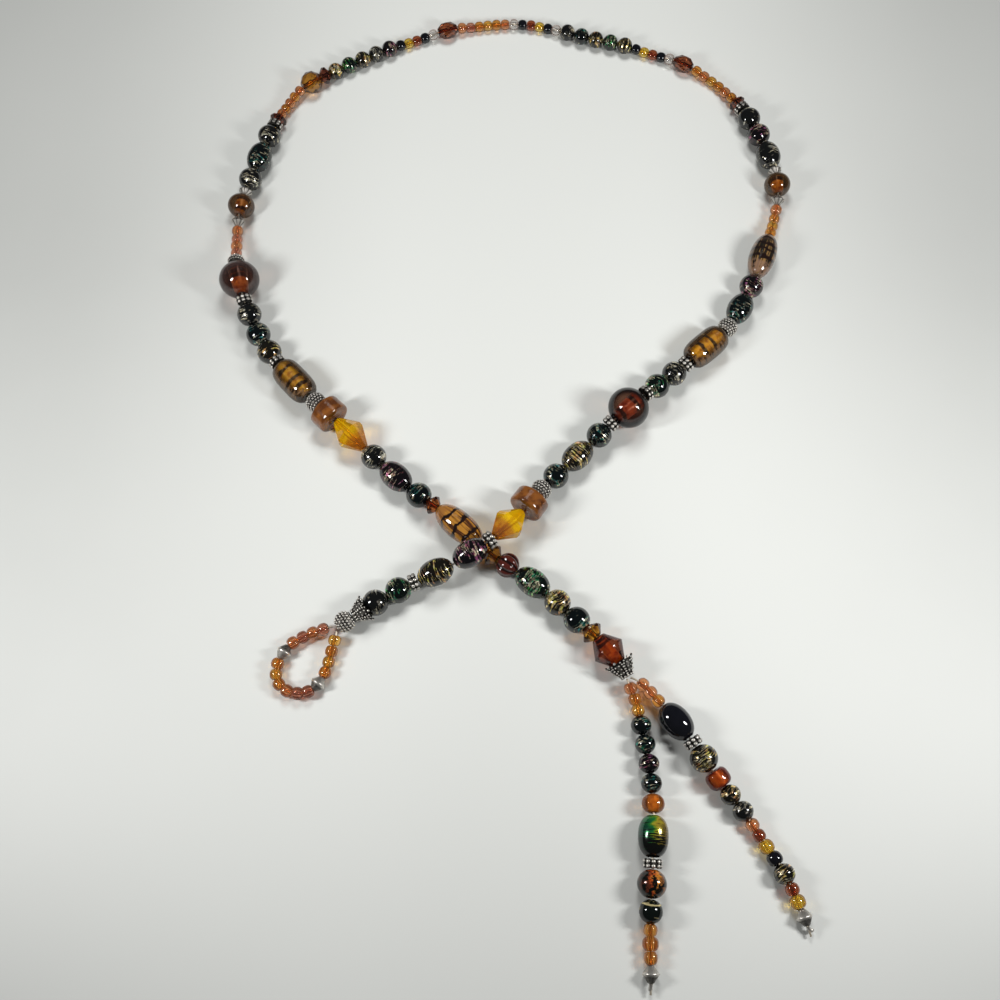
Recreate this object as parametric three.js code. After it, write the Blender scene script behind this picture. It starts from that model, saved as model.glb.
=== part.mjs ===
// A beaded lariat necklace that lies on a table: one long strand of glass and metal beads on fine wire.
// It starts at a small bead loop, goes once round the neck opening, passes under its own start and
// ends at a petal cap, from which two drops hang on. Units are millimetres, +Z is up, and the table
// is the plane Z = 0.
import * as THREE from "three";
import { mergeVertices } from "three/addons/utils/BufferGeometryUtils.js";

// Wire and fit
const wireRadius = 0.3;
const boreClearance = 0.35;
const beadGap = 0.3;
const stringGap = 0.3;
const crossingClearance = 0.6;
const steepestRise = 0.26;
const settlingPasses = 12;
const waistRadius = 1.25;
const sidesOfStringBead = 10;

// Half sections of the bead forms, from the middle of the bead to its end. along is a share of half
// the bead's length, out is a share of its radius.
const forms = {
  ball: [
    { along: 0.27, out: 1 },
    { along: 0.7, out: 0.77 },
    { along: 1, out: 0.34 },
  ],
  oval: [
    { along: 0.24, out: 1 },
    { along: 0.66, out: 0.8 },
    { along: 1, out: 0.36 },
  ],
  barrel: [
    { along: 0.7, out: 1 },
    { along: 0.92, out: 0.84 },
    { along: 1, out: 0.6 },
  ],
  disc: [
    { along: 0.66, out: 1 },
    { along: 1, out: 0.84 },
  ],
  crystal: [
    { along: 0.1, out: 1 },
    { along: 1, out: 0.3 },
  ],
  faceted: [
    { along: 0.3, out: 1 },
    { along: 1, out: 0.45 },
  ],
  saucer: [
    { along: 0.22, out: 1 },
    { along: 1, out: 0.46 },
  ],
  ring: [
    { along: 0.45, out: 1 },
    { along: 1, out: 0.66 },
  ],
  glassSpacer: [{ along: 0, out: 1 }],
  pearl: [
    { along: 0, out: 1 },
    { along: 0.6, out: 0.84 },
    { along: 1, out: 0.34 },
  ],
  small: [
    { along: 0.3, out: 1 },
    { along: 1, out: 0.4 },
  ],
  bare: [],
};

// A cap is a cup with petals: its outside from its small end to its mouth, then its inside.
const capOutside = [
  { along: -1, out: 0.45 },
  { along: -0.45, out: 0.68 },
  { along: 0.5, out: 0.84 },
  { along: 1, out: 1 },
];
const capInside = [
  { along: 0.9, out: 0.78 },
  { along: 0.25, out: 0.42 },
];

// The beads. wide is the diameter and long the length along the wire. relief is how deep, as a share
// of the radius, the grooves between petals, melon ribs or rows of granules are. The loose beads are
// pieces of their own, drilled for the wire, and the string beads are fused to the wire.
const glass = { roughness: 0.12, metalness: 0 };
const silver = { colour: 0x8d8a82, roughness: 0.42, metalness: 0.9 };
const looseBeads = {
  granulatedBead: { wide: 6.7, long: 5.8, form: "faceted", sides: 12, relief: 0.1, ...silver },
  leafCap: { wide: 8.2, long: 3.9, form: "cap", sides: 12, relief: 0.16, ...silver },
  petalCap: { wide: 8.8, long: 4.4, form: "cap", sides: 12, relief: 0.16, mouthFirst: true, ...silver },
  darkOval: { wide: 8.3, long: 11.6, form: "oval", sides: 10, colour: 0x17180f, ...glass },
  shortDarkOval: { wide: 8.3, long: 10.8, form: "oval", sides: 10, colour: 0x10201a, ...glass },
  blackOval: { wide: 8.5, long: 12.1, form: "oval", sides: 12, colour: 0x0a0a0c, ...glass },
  foilOval: { wide: 8.5, long: 11.8, form: "oval", sides: 12, colour: 0x4f5a16, ...glass },
  tigerOval: { wide: 8.9, long: 17.4, form: "oval", sides: 12, colour: 0xa8641c, ...glass },
  tigerBarrel: { wide: 9.6, long: 15.7, form: "barrel", sides: 12, colour: 0xa9691a, ...glass },
  yellowCrystal: { wide: 9.8, long: 13.3, form: "crystal", sides: 8, colour: 0xe0a012, ...glass },
  brownDisc: { wide: 11, long: 6.7, form: "disc", sides: 16, colour: 0x8a4a17, ...glass },
  bigRound: { wide: 13.3, long: 13, form: "ball", sides: 16, colour: 0x3a1408, ...glass },
  amberRound: { wide: 9.3, long: 8.7, form: "ball", sides: 12, colour: 0x8c4410, ...glass },
  cutOval: { wide: 6.4, long: 7.9, form: "faceted", sides: 8, colour: 0x6e2a0c, ...glass },
  cutRound: { wide: 8.2, long: 8.1, form: "faceted", sides: 10, colour: 0xa4500e, ...glass },
  melonRound: { wide: 7.7, long: 7, form: "ball", sides: 12, relief: 0.07, colour: 0x4a1708, ...glass },
  cognacCrystal: { wide: 10.3, long: 10.2, form: "crystal", sides: 8, colour: 0x8f3208, ...glass },
  foilRound: { wide: 8.2, long: 8, form: "ball", sides: 10, colour: 0x7a2c0a, ...glass },
  ponyBead: { wide: 7, long: 5.4, form: "disc", sides: 12, colour: 0x8a3208, ...glass },
  amberBall: { wide: 6.4, long: 5.7, form: "ball", sides: 10, colour: 0xb86410, ...glass },
};
const stringBeads = {
  darkRound: { wide: 8, long: 7.75, form: "pearl" },
  smallDarkRound: { wide: 6, long: 5.5, form: "pearl" },
  ringedRound: { wide: 6.5, long: 6.1, form: "pearl" },
  glassSpacer: { wide: 4, long: 3.25, form: "glassSpacer" },
  shortGlassSpacer: { wide: 4, long: 2.8, form: "glassSpacer" },
  longGlassSpacer: { wide: 4, long: 3.4, form: "glassSpacer" },
  yellowSpacer: { wide: 4.6, long: 3.7, form: "glassSpacer" },
  brownSaucer: { wide: 6.2, long: 3.6, form: "saucer" },
  amberSaucer: { wide: 7.2, long: 4.1, form: "saucer" },
  daisySpacer: { wide: 5.6, long: 2.6, form: "ring", relief: 0.14 },
  domeCap: { wide: 6, long: 3.2, form: "saucer", relief: 0.1 },
  silverCone: { wide: 4.8, long: 3.5, form: "small" },
  pewterCone: { wide: 4.7, long: 4.5, form: "small" },
  bareWire: { wide: 2 * wireRadius, long: 1.2, form: "bare" },
  pinEnd: { wide: 1.2, long: 3, form: "small" },
};

// The stringing charts, each from the start of its strand to its end. The main strand is strung in
// two lengths that meet behind the neck.
const frontToNeck = [
  { bead: "granulatedBead" },
  { bead: "leafCap" },
  { bead: "darkRound", count: 2 },
  { bead: "daisySpacer" },
  { bead: "darkOval", count: 2 },
  { bead: "daisySpacer" },
  { bead: "yellowCrystal" },
  { bead: "brownDisc" },
  { bead: "granulatedBead" },
  { bead: "darkRound" },
  { bead: "darkOval" },
  { bead: "darkRound" },
  { bead: "daisySpacer" },
  { bead: "bigRound" },
  { bead: "daisySpacer" },
  { bead: "darkRound", count: 2 },
  { bead: "daisySpacer" },
  { bead: "tigerBarrel" },
  { bead: "granulatedBead" },
  { bead: "darkOval" },
  { bead: "darkRound" },
  { bead: "tigerOval" },
  { bead: "longGlassSpacer", count: 4 },
  { bead: "silverCone" },
  { bead: "amberRound" },
  { bead: "silverCone" },
  { bead: "shortDarkOval" },
  { bead: "darkRound", count: 2 },
  { bead: "daisySpacer" },
  { bead: "brownSaucer" },
  { bead: "longGlassSpacer", count: 6 },
  { bead: "cutOval" },
  { bead: "glassSpacer", count: 5 },
  { bead: "smallDarkRound", count: 5 },
  { bead: "glassSpacer", count: 6 },
];
const neckToDrops = [
  { bead: "glassSpacer", count: 6 },
  { bead: "cutOval" },
  { bead: "glassSpacer", count: 5 },
  { bead: "smallDarkRound", count: 5 },
  { bead: "brownSaucer" },
  { bead: "cutRound" },
  { bead: "shortGlassSpacer", count: 5 },
  { bead: "brownSaucer" },
  { bead: "daisySpacer" },
  { bead: "darkRound" },
  { bead: "darkOval" },
  { bead: "darkRound" },
  { bead: "silverCone" },
  { bead: "amberRound" },
  { bead: "silverCone" },
  { bead: "longGlassSpacer", count: 4 },
  { bead: "domeCap" },
  { bead: "bigRound" },
  { bead: "daisySpacer" },
  { bead: "darkRound", count: 3 },
  { bead: "daisySpacer" },
  { bead: "tigerBarrel" },
  { bead: "granulatedBead" },
  { bead: "brownDisc" },
  { bead: "yellowCrystal" },
  { bead: "darkRound" },
  { bead: "darkOval" },
  { bead: "darkRound" },
  { bead: "brownSaucer" },
  { bead: "tigerOval" },
  { bead: "longGlassSpacer" },
  { bead: "amberSaucer" },
  { bead: "melonRound" },
  { bead: "darkOval" },
  { bead: "darkRound", count: 2 },
  { bead: "amberSaucer" },
  { bead: "cognacCrystal" },
  { bead: "petalCap" },
];
const loopChart = [
  { bead: "bareWire" },
  { bead: "glassSpacer", count: 4 },
  { bead: "pewterCone" },
  { bead: "glassSpacer", count: 6 },
  { bead: "pewterCone" },
  { bead: "glassSpacer", count: 4 },
  { bead: "bareWire" },
];
const leftDropChart = [
  { bead: "bareWire" },
  { bead: "glassSpacer", count: 3 },
  { bead: "smallDarkRound", count: 4 },
  { bead: "amberBall" },
  { bead: "foilOval" },
  { bead: "daisySpacer" },
  { bead: "foilRound" },
  { bead: "ringedRound" },
  { bead: "glassSpacer" },
  { bead: "yellowSpacer" },
  { bead: "longGlassSpacer" },
  { bead: "pewterCone" },
  { bead: "pinEnd" },
];
const rightDropChart = [
  { bead: "bareWire", count: 2 },
  { bead: "glassSpacer", count: 3 },
  { bead: "blackOval" },
  { bead: "daisySpacer" },
  { bead: "foilRound" },
  { bead: "ponyBead" },
  { bead: "smallDarkRound", count: 2 },
  { bead: "glassSpacer", count: 2 },
  { bead: "yellowSpacer", count: 2 },
  { bead: "smallDarkRound" },
  { bead: "glassSpacer" },
  { bead: "yellowSpacer" },
  { bead: "pewterCone" },
  { bead: "pinEnd" },
];

// The routes on the table, as chosen points [x, y] that a smooth curve goes through. The loop's
// points are measured from the start of the main strand, and the drops' from its end.
const routes = {
  main: [
    [-48.6, 79.9], [-38, 86.9], [-26.9, 93.2], [-10.6, 100.2], [2, 109.4], [12.4, 123], [23.7, 134.3],
    [34.3, 144.6], [46, 155.3], [59.9, 167], [75.4, 181.3], [84.4, 197.2], [90.6, 213], [95.2, 226.5],
    [96.7, 238.7], [94.4, 251.5], [88.6, 268], [80.4, 281.8], [67, 292.4], [50, 299.6], [30.7, 305],
    [11, 311.4], [-8.4, 310.6], [-27.9, 305.2], [-45.2, 297], [-63.2, 286.8], [-75.5, 275.6],
    [-82.4, 257.4], [-87.3, 239.7], [-90, 222], [-89, 208.5], [-87, 197.3], [-79.2, 177.8],
    [-66.3, 160.7], [-53.1, 147.8], [-39, 133.9], [-24.7, 121.3], [-11.9, 112.4], [-2.7, 102.6],
    [9.9, 93.9], [22.2, 82.6], [32.2, 72.9], [36.6, 65.9],
  ],
  loop: [
    [0.1, -1], [0, -3], [-1, -5.6], [-2.3, -11.6], [-3.9, -15.3], [-6.9, -17.9], [-10, -18.1],
    [-13.4, -17.2], [-15.6, -14.9], [-16.2, -12], [-15.4, -8.8], [-14, -5.8], [-11.4, -3.7],
    [-8.8, -2.1], [-5.6, -0.9], [-3, -0.2], [-1.1, 0.2],
  ],
  leftDrop: [
    [-0.3, -0.6], [0.7, -3.6], [2.2, -6.6], [3.3, -13.6], [5.2, -25], [5.7, -36], [5, -46],
    [4.2, -57], [3.4, -66], [3.2, -74], [2.7, -86],
  ],
  rightDrop: [
    [0.8, -0.2], [4.6, -2], [6.9, -4.9], [13.9, -13.1], [20.8, -23.6], [24.4, -29], [31, -37.8],
    [37, -47.5], [41, -54.4], [44, -61.5], [46.8, -70],
  ],
};

// The charts as plain lists of beads, one entry for each bead.
function strung(chart) {
  const one = (kind) => ({ kind, loose: kind in looseBeads, ...looseBeads[kind], ...stringBeads[kind] });
  return chart.flatMap(({ bead, count = 1 }) => Array(count).fill(one(bead)));
}

// A route as a function from a distance along it to a point on the table. Past its last point it
// goes straight on.
function tableRoute(points, start = new THREE.Vector3(), length = 0) {
  const curve = new THREE.CatmullRomCurve3(points.map(([x, y]) => new THREE.Vector3(x, y, 0)));
  curve.arcLengthDivisions = 40 * points.length;
  const scale = length ? length / curve.getLength() : 1;
  const end = curve.getLength() * scale;
  return (distance) => {
    const on = Math.min(distance, end);
    const point = curve.getPointAt(on / end).multiplyScalar(scale);
    return point.addScaledVector(curve.getTangentAt(1), distance - on).add(start);
  };
}

const restShare = (bead) => Math.cos(Math.PI / (bead.sides ?? sidesOfStringBead));

// How much shorter a bead is at an end so that it clears its neighbour where the wire bends.
function endClearance(endRadius, bend) {
  return beadGap / 2 + endRadius * Math.tan(bend / 2);
}

// The section of a bead from its start to its end, in millimetres from its middle.
function section(bead, bend = 0) {
  const endRadius = ((forms[bead.form] ?? capOutside).at(-1)?.out ?? 0) * bead.wide / 2;
  const half = bead.long / 2 - (bead.loose ? endClearance(endRadius, bend) : 0);
  const row = ({ along, out }, turn = 1) => ({
    at: along * turn * half,
    out: (out * bead.wide) / 2,
    relief: bead.relief ?? 0,
  });
  if (bead.form === "cap") return capOutside.map((r) => row(r));
  const rows = forms[bead.form];
  return [...rows.toReversed().map((r) => row(r, -1)), ...rows.map((r) => row(r))];
}

// The heights of a strand's wire at the joints between its beads: each bead lies on the table or is
// carried by its neighbours, and the wire rises no steeper than steepestRise. carried holds the
// least height of single beads.
function jointHeights(strand, carried = new Map()) {
  const rests = strand.map((bead, i) => Math.max((bead.wide / 2) * restShare(bead), carried.get(i) ?? 0));
  const heights = [rests[0], ...rests.map((rest, i) => Math.max(rest, rests[i + 1] ?? 0))];
  const settle = (i, from) => {
    heights[i] = Math.max(heights[i], heights[from] - steepestRise * strand[Math.min(i, from)].long);
  };
  for (let pass = 0; pass < settlingPasses; pass++) {
    for (let i = 1; i < heights.length; i++) settle(i, i - 1);
    for (let i = heights.length - 2; i >= 0; i--) settle(i, i + 1);
    strand.forEach((bead, i) => {
      const rise = (heights[i + 1] - heights[i]) / bead.long;
      const middle = (heights[i] + heights[i + 1]) / 2;
      const upright = restShare(bead) / Math.hypot(1, rise);
      const lowest = section(bead).map(({ at, out }) => out * upright - rise * at);
      const lift = Math.max(0, ...lowest.map((low) => low - middle));
      heights[i] += lift;
      heights[i + 1] += lift;
    });
  }
  return heights;
}

// The joints of a strand in space, one before its first bead and one after each bead.
function jointsOf(strand, route, carried) {
  const heights = jointHeights(strand, carried);
  let distance = 0;
  return heights.map((height, i) => {
    if (i) distance += strand[i - 1].long;
    return route(distance).setZ(height);
  });
}

// The frame of a stretch of wire: side is level, up is square to the wire.
function frameAlong(direction) {
  const along = direction.clone().normalize();
  const side = along.clone().cross(new THREE.Vector3(0, 0, 1)).normalize();
  return { side, along, up: side.clone().cross(along) };
}

// A turned solid from a section of rows { at, out, relief }. Every second side is sunk by the
// relief, and place moves each point from the straight axis to where it belongs.
function turnedSolid(rows, sides, place = (point) => point) {
  const outline = rows.map(({ at, out }) => new THREE.Vector2(out, at));
  const lathe = new THREE.LatheGeometry(outline, sides, Math.PI / sides);
  lathe.deleteAttribute("normal");
  lathe.deleteAttribute("uv");
  const points = lathe.getAttribute("position");
  for (let i = 0; i < points.count; i++) {
    const row = rows[i % rows.length];
    const sunk = Math.floor(i / rows.length) % 2 ? 1 - (row.relief ?? 0) : 1;
    const point = new THREE.Vector3().fromBufferAttribute(points, i);
    point.multiply(new THREE.Vector3(sunk, 1, sunk));
    points.setXYZ(i, ...place(point, row));
  }
  const solid = mergeVertices(lathe, 1e-4);
  solid.computeVertexNormals();
  return solid;
}

// A loose bead, drilled from end to end.
function drilledBead(bead, bend) {
  const outside = section(bead, bend);
  const bore = wireRadius + boreClearance;
  const start = { at: outside[0].at, out: bore };
  const end = { at: outside.at(-1).at, out: bore };
  let inside = [];
  if (bead.form === "cap") {
    const half = outside.at(-1).at;
    const { wide, relief } = bead;
    inside = capInside.map(({ along, out }) => ({ at: along * half, out: (out * wide) / 2, relief }));
    end.at = inside.at(-1).at;
  }
  const solid = turnedSolid([start, ...outside, ...inside, end, start], bead.sides);
  if (bead.mouthFirst) solid.rotateX(Math.PI);
  return solid;
}

// The wire of a strand with its fused beads: one turned solid as long as the strand, bent to its
// joints. Neighbouring fused beads share the waist between them.
function stringSolid(strand, joints, first, last) {
  const rows = [];
  const stations = [0];
  strand.forEach((bead) => stations.push(stations.at(-1) + bead.long));
  const fused = (i) => i >= first && i < last && !strand[i].loose && strand[i].form !== "bare";
  const bends = bendsOf(joints);
  const startAt = stations[first] + (first ? stringGap / 2 : 0);
  const endAt = stations[last] - (last < strand.length ? stringGap / 2 : 0);
  rows.push({ at: startAt, out: 0, bead: first });
  for (let i = first; i < last; i++) {
    const bead = strand[i];
    const middle = stations[i] + bead.long / 2;
    const start = i === first ? startAt : stations[i];
    const end = i === last - 1 ? endAt : stations[i + 1];
    if (!fused(i)) {
      rows.push({ at: start, out: wireRadius, joint: i });
      continue;
    }
    const waist = Math.min(waistRadius, bead.wide / 2);
    const startGap = fused(i - 1) ? 0 : endClearance(waist, bends[i]);
    const endGap = fused(i + 1) ? 0 : endClearance(waist, bends[i + 1]);
    const own = { bead: i };
    if (startGap) rows.push({ at: start + startGap, out: wireRadius, ...own });
    rows.push({ at: start + startGap, out: waist, ...(startGap ? own : { joint: i }) });
    section(bead)
      .filter(({ at }) => Math.abs(at) < bead.long / 2 - beadGap / 2)
      .forEach(({ at, out, relief }) => rows.push({ at: middle + at, out, relief, ...own }));
    if (endGap) [waist, wireRadius].forEach((out) => rows.push({ at: end - endGap, out, ...own }));
  }
  if (!fused(last - 1)) rows.push({ at: endAt, out: wireRadius, joint: last });
  rows.push({ at: endAt, out: 0, bead: last - 1 });
  const frames = strand.map((bead, i) => frameAlong(joints[i + 1].clone().sub(joints[i])));
  const bend = (point, row) => {
    const i = row.bead ?? Math.min(row.joint, strand.length - 1);
    const before = frames[Math.max(0, (row.joint ?? i) - 1)].along;
    const mitred = row.joint === undefined ? frames[i] : frameAlong(before.clone().add(frames[i].along));
    const share = (point.y - stations[i]) / strand[i].long;
    const centre = joints[i].clone().lerp(joints[i + 1], share);
    return centre.addScaledVector(mitred.side, point.x).addScaledVector(mitred.up, point.z);
  };
  return turnedSolid(rows, sidesOfStringBead, bend);
}

// The angle that the wire turns through at each joint.
function bendsOf(joints) {
  const stretches = joints.slice(1).map((joint, i) => joint.clone().sub(joints[i]));
  return joints.map((_, i) => (i && stretches[i] ? stretches[i - 1].angleTo(stretches[i]) : 0));
}

// Where the main strand crosses itself: the pair of beads, far apart on the strand, that lie
// closest together on the table.
function crossingOf(strand, joints) {
  const middles = strand.map((bead, i) => joints[i].clone().lerp(joints[i + 1], 0.5).setZ(0));
  const farOn = Math.floor(strand.length / 2);
  let closest = { apart: Infinity };
  for (let upper = 0; upper < strand.length; upper++) {
    for (let lower = upper + farOn; lower < strand.length; lower++) {
      const apart = middles[upper].distanceTo(middles[lower]);
      if (apart < closest.apart) closest = { apart, upper, lower };
    }
  }
  return closest;
}

const necklace = new THREE.Group();
const laid = new THREE.Group();
necklace.add(laid);
const counts = {};

function addString(name, strand, joints, first = 0, last = strand.length) {
  const finish = new THREE.MeshStandardMaterial({ color: 0x4a3416, roughness: 0.3, metalness: 0.2 });
  const mesh = new THREE.Mesh(stringSolid(strand, joints, first, last), finish);
  mesh.name = name;
  laid.add(mesh);
}

function addLooseBeads(strand, joints) {
  const bends = bendsOf(joints);
  strand.forEach((bead, i) => {
    if (!bead.loose) return;
    const { colour, roughness, metalness } = bead;
    const finish = new THREE.MeshStandardMaterial({ color: colour, roughness, metalness });
    const mesh = new THREE.Mesh(drilledBead(bead, Math.max(bends[i], bends[i + 1])), finish);
    counts[bead.kind] = (counts[bead.kind] ?? 0) + 1;
    const plainName = bead.kind.replace(/[A-Z]/g, (letter) => "_" + letter.toLowerCase());
    mesh.name = `${plainName}_${counts[bead.kind]}`;
    const { side, along, up } = frameAlong(joints[i + 1].clone().sub(joints[i]));
    mesh.quaternion.setFromRotationMatrix(new THREE.Matrix4().makeBasis(side, along, up));
    mesh.position.copy(joints[i]).lerp(joints[i + 1], 0.5);
    laid.add(mesh);
  });
}

// The main strand is laid flat first, then its start is lifted over its end where they cross.
const frontBeads = strung(frontToNeck);
const mainStrand = [...frontBeads, ...strung(neckToDrops)];
const mainRoute = tableRoute(routes.main);
const flatJoints = jointsOf(mainStrand, mainRoute);
const crossing = crossingOf(mainStrand, flatJoints);
const lowerTop = flatJoints[crossing.lower].z + mainStrand[crossing.lower].wide / 2;
const upperAxis = lowerTop + crossingClearance + mainStrand[crossing.upper].wide / 2;
const mainJoints = jointsOf(mainStrand, mainRoute, new Map([[crossing.upper, upperAxis]]));
addString("front_string", mainStrand, mainJoints, 0, frontBeads.length);
addString("back_string", mainStrand, mainJoints, frontBeads.length);
addLooseBeads(mainStrand, mainJoints);

// The loop leaves the first granulated bead and comes back to it, at the height of its bore.
const loopStrand = strung(loopChart);
const loopLength = loopStrand.reduce((sum, bead) => sum + bead.long, 0);
const flat = (joint) => joint.clone().setZ(0);
const loopRoute = tableRoute(routes.loop, flat(mainJoints[0]), loopLength);
const loopEnds = [0, loopStrand.length - 1].map((i) => [i, mainJoints[0].z]);
addString("loop_string", loopStrand, jointsOf(loopStrand, loopRoute, new Map(loopEnds)));

// Both drops leave the petal cap at the height of its bore.
const dropStart = new Map([[0, mainJoints.at(-1).z]]);
[
  { name: "left_drop_string", chart: leftDropChart, route: routes.leftDrop },
  { name: "right_drop_string", chart: rightDropChart, route: routes.rightDrop },
].forEach(({ name, chart, route }) => {
  const strand = strung(chart);
  const joints = jointsOf(strand, tableRoute(route, flat(mainJoints.at(-1))), dropStart);
  addString(name, strand, joints);
  addLooseBeads(strand, joints);
});

// The origin is the middle of the footprint, on the table.
const box = new THREE.Box3().setFromObject(necklace, true);
laid.position.set(-(box.min.x + box.max.x) / 2, -(box.min.y + box.max.y) / 2, -box.min.z);

export default necklace;
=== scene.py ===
import math
import random

import bmesh
import bpy
import numpy as np
from mathutils import Matrix, Vector


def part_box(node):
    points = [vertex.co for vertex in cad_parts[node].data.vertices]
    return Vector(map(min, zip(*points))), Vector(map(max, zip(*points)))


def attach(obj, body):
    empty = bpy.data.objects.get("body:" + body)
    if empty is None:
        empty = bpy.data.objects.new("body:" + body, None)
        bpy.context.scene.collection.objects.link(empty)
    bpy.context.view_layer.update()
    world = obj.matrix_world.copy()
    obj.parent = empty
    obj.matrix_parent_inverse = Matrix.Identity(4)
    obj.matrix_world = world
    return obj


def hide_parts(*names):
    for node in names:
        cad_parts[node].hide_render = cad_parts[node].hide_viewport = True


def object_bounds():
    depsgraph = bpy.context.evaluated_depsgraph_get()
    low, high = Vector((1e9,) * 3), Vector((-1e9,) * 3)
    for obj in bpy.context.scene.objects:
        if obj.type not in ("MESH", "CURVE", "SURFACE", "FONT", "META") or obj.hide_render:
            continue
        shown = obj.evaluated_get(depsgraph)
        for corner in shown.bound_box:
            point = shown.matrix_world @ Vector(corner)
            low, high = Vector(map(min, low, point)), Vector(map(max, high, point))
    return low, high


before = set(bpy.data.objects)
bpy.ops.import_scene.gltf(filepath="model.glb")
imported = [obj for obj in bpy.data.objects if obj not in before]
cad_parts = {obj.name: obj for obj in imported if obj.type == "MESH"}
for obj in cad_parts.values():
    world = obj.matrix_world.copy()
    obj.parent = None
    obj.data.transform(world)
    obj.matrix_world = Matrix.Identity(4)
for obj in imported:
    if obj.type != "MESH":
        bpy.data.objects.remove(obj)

cad_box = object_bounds()
mm = 0.001

# The wire. Fine coated beading wire carries every bead. The charts give the order in which the beads
# were strung, and the routes are the lines on the table along which the finished strand was laid.
WIRE_RADIUS = 0.3 * mm
BORE_CLEARANCE = 0.35 * mm
BEAD_GAP = 0.3 * mm
CROSSING_CLEARANCE = 0.6 * mm
STEEPEST_RISE = 0.26
SETTLING_PASSES = 12
SAMPLES_PER_SPAN = 40
SIDES_OF_STRING_BEAD, SIDES_OF_WIRE = 10, 8
STRING_GAP = 0.3 * mm

# How far out each form of bead stands from its middle to its end, as (share of half the length,
# share of the radius).
FORMS = {
    "ball": [(0.27, 1), (0.7, 0.77), (1, 0.34)],
    "oval": [(0.24, 1), (0.66, 0.8), (1, 0.36)],
    "barrel": [(0.7, 1), (0.92, 0.84), (1, 0.6)],
    "disc": [(0.66, 1), (1, 0.84)],
    "crystal": [(0.1, 1), (1, 0.3)],
    "faceted": [(0.3, 1), (1, 0.45)],
    "saucer": [(0.22, 1), (1, 0.46)],
    "ring": [(0.45, 1), (1, 0.66)],
    "spacer": [(0, 1)],
    "pearl": [(0, 1), (0.6, 0.84), (1, 0.34)],
    "small": [(0.3, 1), (1, 0.4)],
    "bare": [],
    "cap": [(-1, 0.45), (-0.45, 0.68), (0.5, 0.84), (1, 1)],
}

# Each bead's form, width and length in millimetres, and, for a bead that is a piece of its own, the
# number of sides of its solid.
BEADS = {
    "granulated_bead": ("faceted", 6.7, 5.8, 12),
    "leaf_cap": ("cap", 8.2, 3.9, 12),
    "petal_cap": ("cap", 8.8, 4.4, 12),
    "dark_oval": ("oval", 8.3, 11.6, 10),
    "short_dark_oval": ("oval", 8.3, 10.8, 10),
    "black_oval": ("oval", 8.5, 12.1, 12),
    "foil_oval": ("oval", 8.5, 11.8, 12),
    "tiger_oval": ("oval", 8.9, 17.4, 12),
    "tiger_barrel": ("barrel", 9.6, 15.7, 12),
    "yellow_crystal": ("crystal", 9.8, 13.3, 8),
    "brown_disc": ("disc", 11, 6.7, 16),
    "big_round": ("ball", 13.3, 13, 16),
    "amber_round": ("ball", 9.3, 8.7, 12),
    "cut_oval": ("faceted", 6.4, 7.9, 8),
    "cut_round": ("faceted", 8.2, 8.1, 10),
    "melon_round": ("ball", 7.7, 7, 12),
    "cognac_crystal": ("crystal", 10.3, 10.2, 8),
    "foil_round": ("ball", 8.2, 8, 10),
    "pony_bead": ("disc", 7, 5.4, 12),
    "amber_ball": ("ball", 6.4, 5.7, 10),
    "dark_round": ("pearl", 8, 7.75, 0),
    "small_dark_round": ("pearl", 6, 5.5, 0),
    "ringed_round": ("pearl", 6.5, 6.1, 0),
    "glass_spacer": ("spacer", 4, 3.25, 0),
    "short_glass_spacer": ("spacer", 4, 2.8, 0),
    "long_glass_spacer": ("spacer", 4, 3.4, 0),
    "yellow_spacer": ("spacer", 4.6, 3.7, 0),
    "brown_saucer": ("saucer", 6.2, 3.6, 0),
    "amber_saucer": ("saucer", 7.2, 4.1, 0),
    "daisy_spacer": ("ring", 5.6, 2.6, 0),
    "dome_cap": ("saucer", 6, 3.2, 0),
    "silver_cone": ("small", 4.8, 3.5, 0),
    "pewter_cone": ("small", 4.7, 4.5, 0),
    "bare_wire": ("bare", 0.6, 1.2, 0),
    "pin_end": ("small", 1.2, 3, 0),
}

# Each bead's kind, with a colour of glass or foil for every bead of a run.
FRONT_TO_NECK = """
    granulated_bead, leaf_cap, dark_round pewter green, daisy_spacer, dark_oval gold plum, daisy_spacer,
    yellow_crystal yellow, brown_disc, granulated_bead, dark_round teal, dark_oval gold,
    dark_round teal, daisy_spacer, big_round, daisy_spacer, dark_round green pewter, daisy_spacer,
    tiger_barrel, granulated_bead, dark_oval teal, dark_round plum, tiger_oval,
    long_glass_spacer amber gold amber coral, silver_cone, amber_round, silver_cone,
    short_dark_oval pewter, dark_round plum pewter, daisy_spacer, brown_saucer brown,
    long_glass_spacer amber coral amber gold coral amber, cut_oval brown,
    glass_spacer clear black brown yellow black, small_dark_round gold green gold teal pewter,
    glass_spacer clear black yellow brown black clear
"""
NECK_TO_DROPS = """
    glass_spacer coral amber gold amber rose coral, cut_oval brown,
    glass_spacer clear black brown yellow black, small_dark_round plum pewter gold green gold,
    brown_saucer brown, cut_round amber, short_glass_spacer coral amber coral amber coral,
    brown_saucer brown, daisy_spacer, dark_round pewter, dark_oval teal, dark_round pewter,
    silver_cone, amber_round, silver_cone, long_glass_spacer coral rose coral rose, dome_cap,
    big_round, daisy_spacer, dark_round pewter teal gold, daisy_spacer, tiger_barrel,
    granulated_bead, brown_disc, yellow_crystal yellow, dark_round pewter, dark_oval plum,
    dark_round teal, brown_saucer red, tiger_oval, long_glass_spacer amber, amber_saucer amber,
    melon_round, dark_oval green, dark_round gold teal, amber_saucer amber, cognac_crystal, petal_cap
"""
LOOP = """
    bare_wire, glass_spacer gold amber gold amber, pewter_cone,
    glass_spacer rose rose coral amber gold amber, pewter_cone, glass_spacer coral rose coral rose,
    bare_wire
"""
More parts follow.
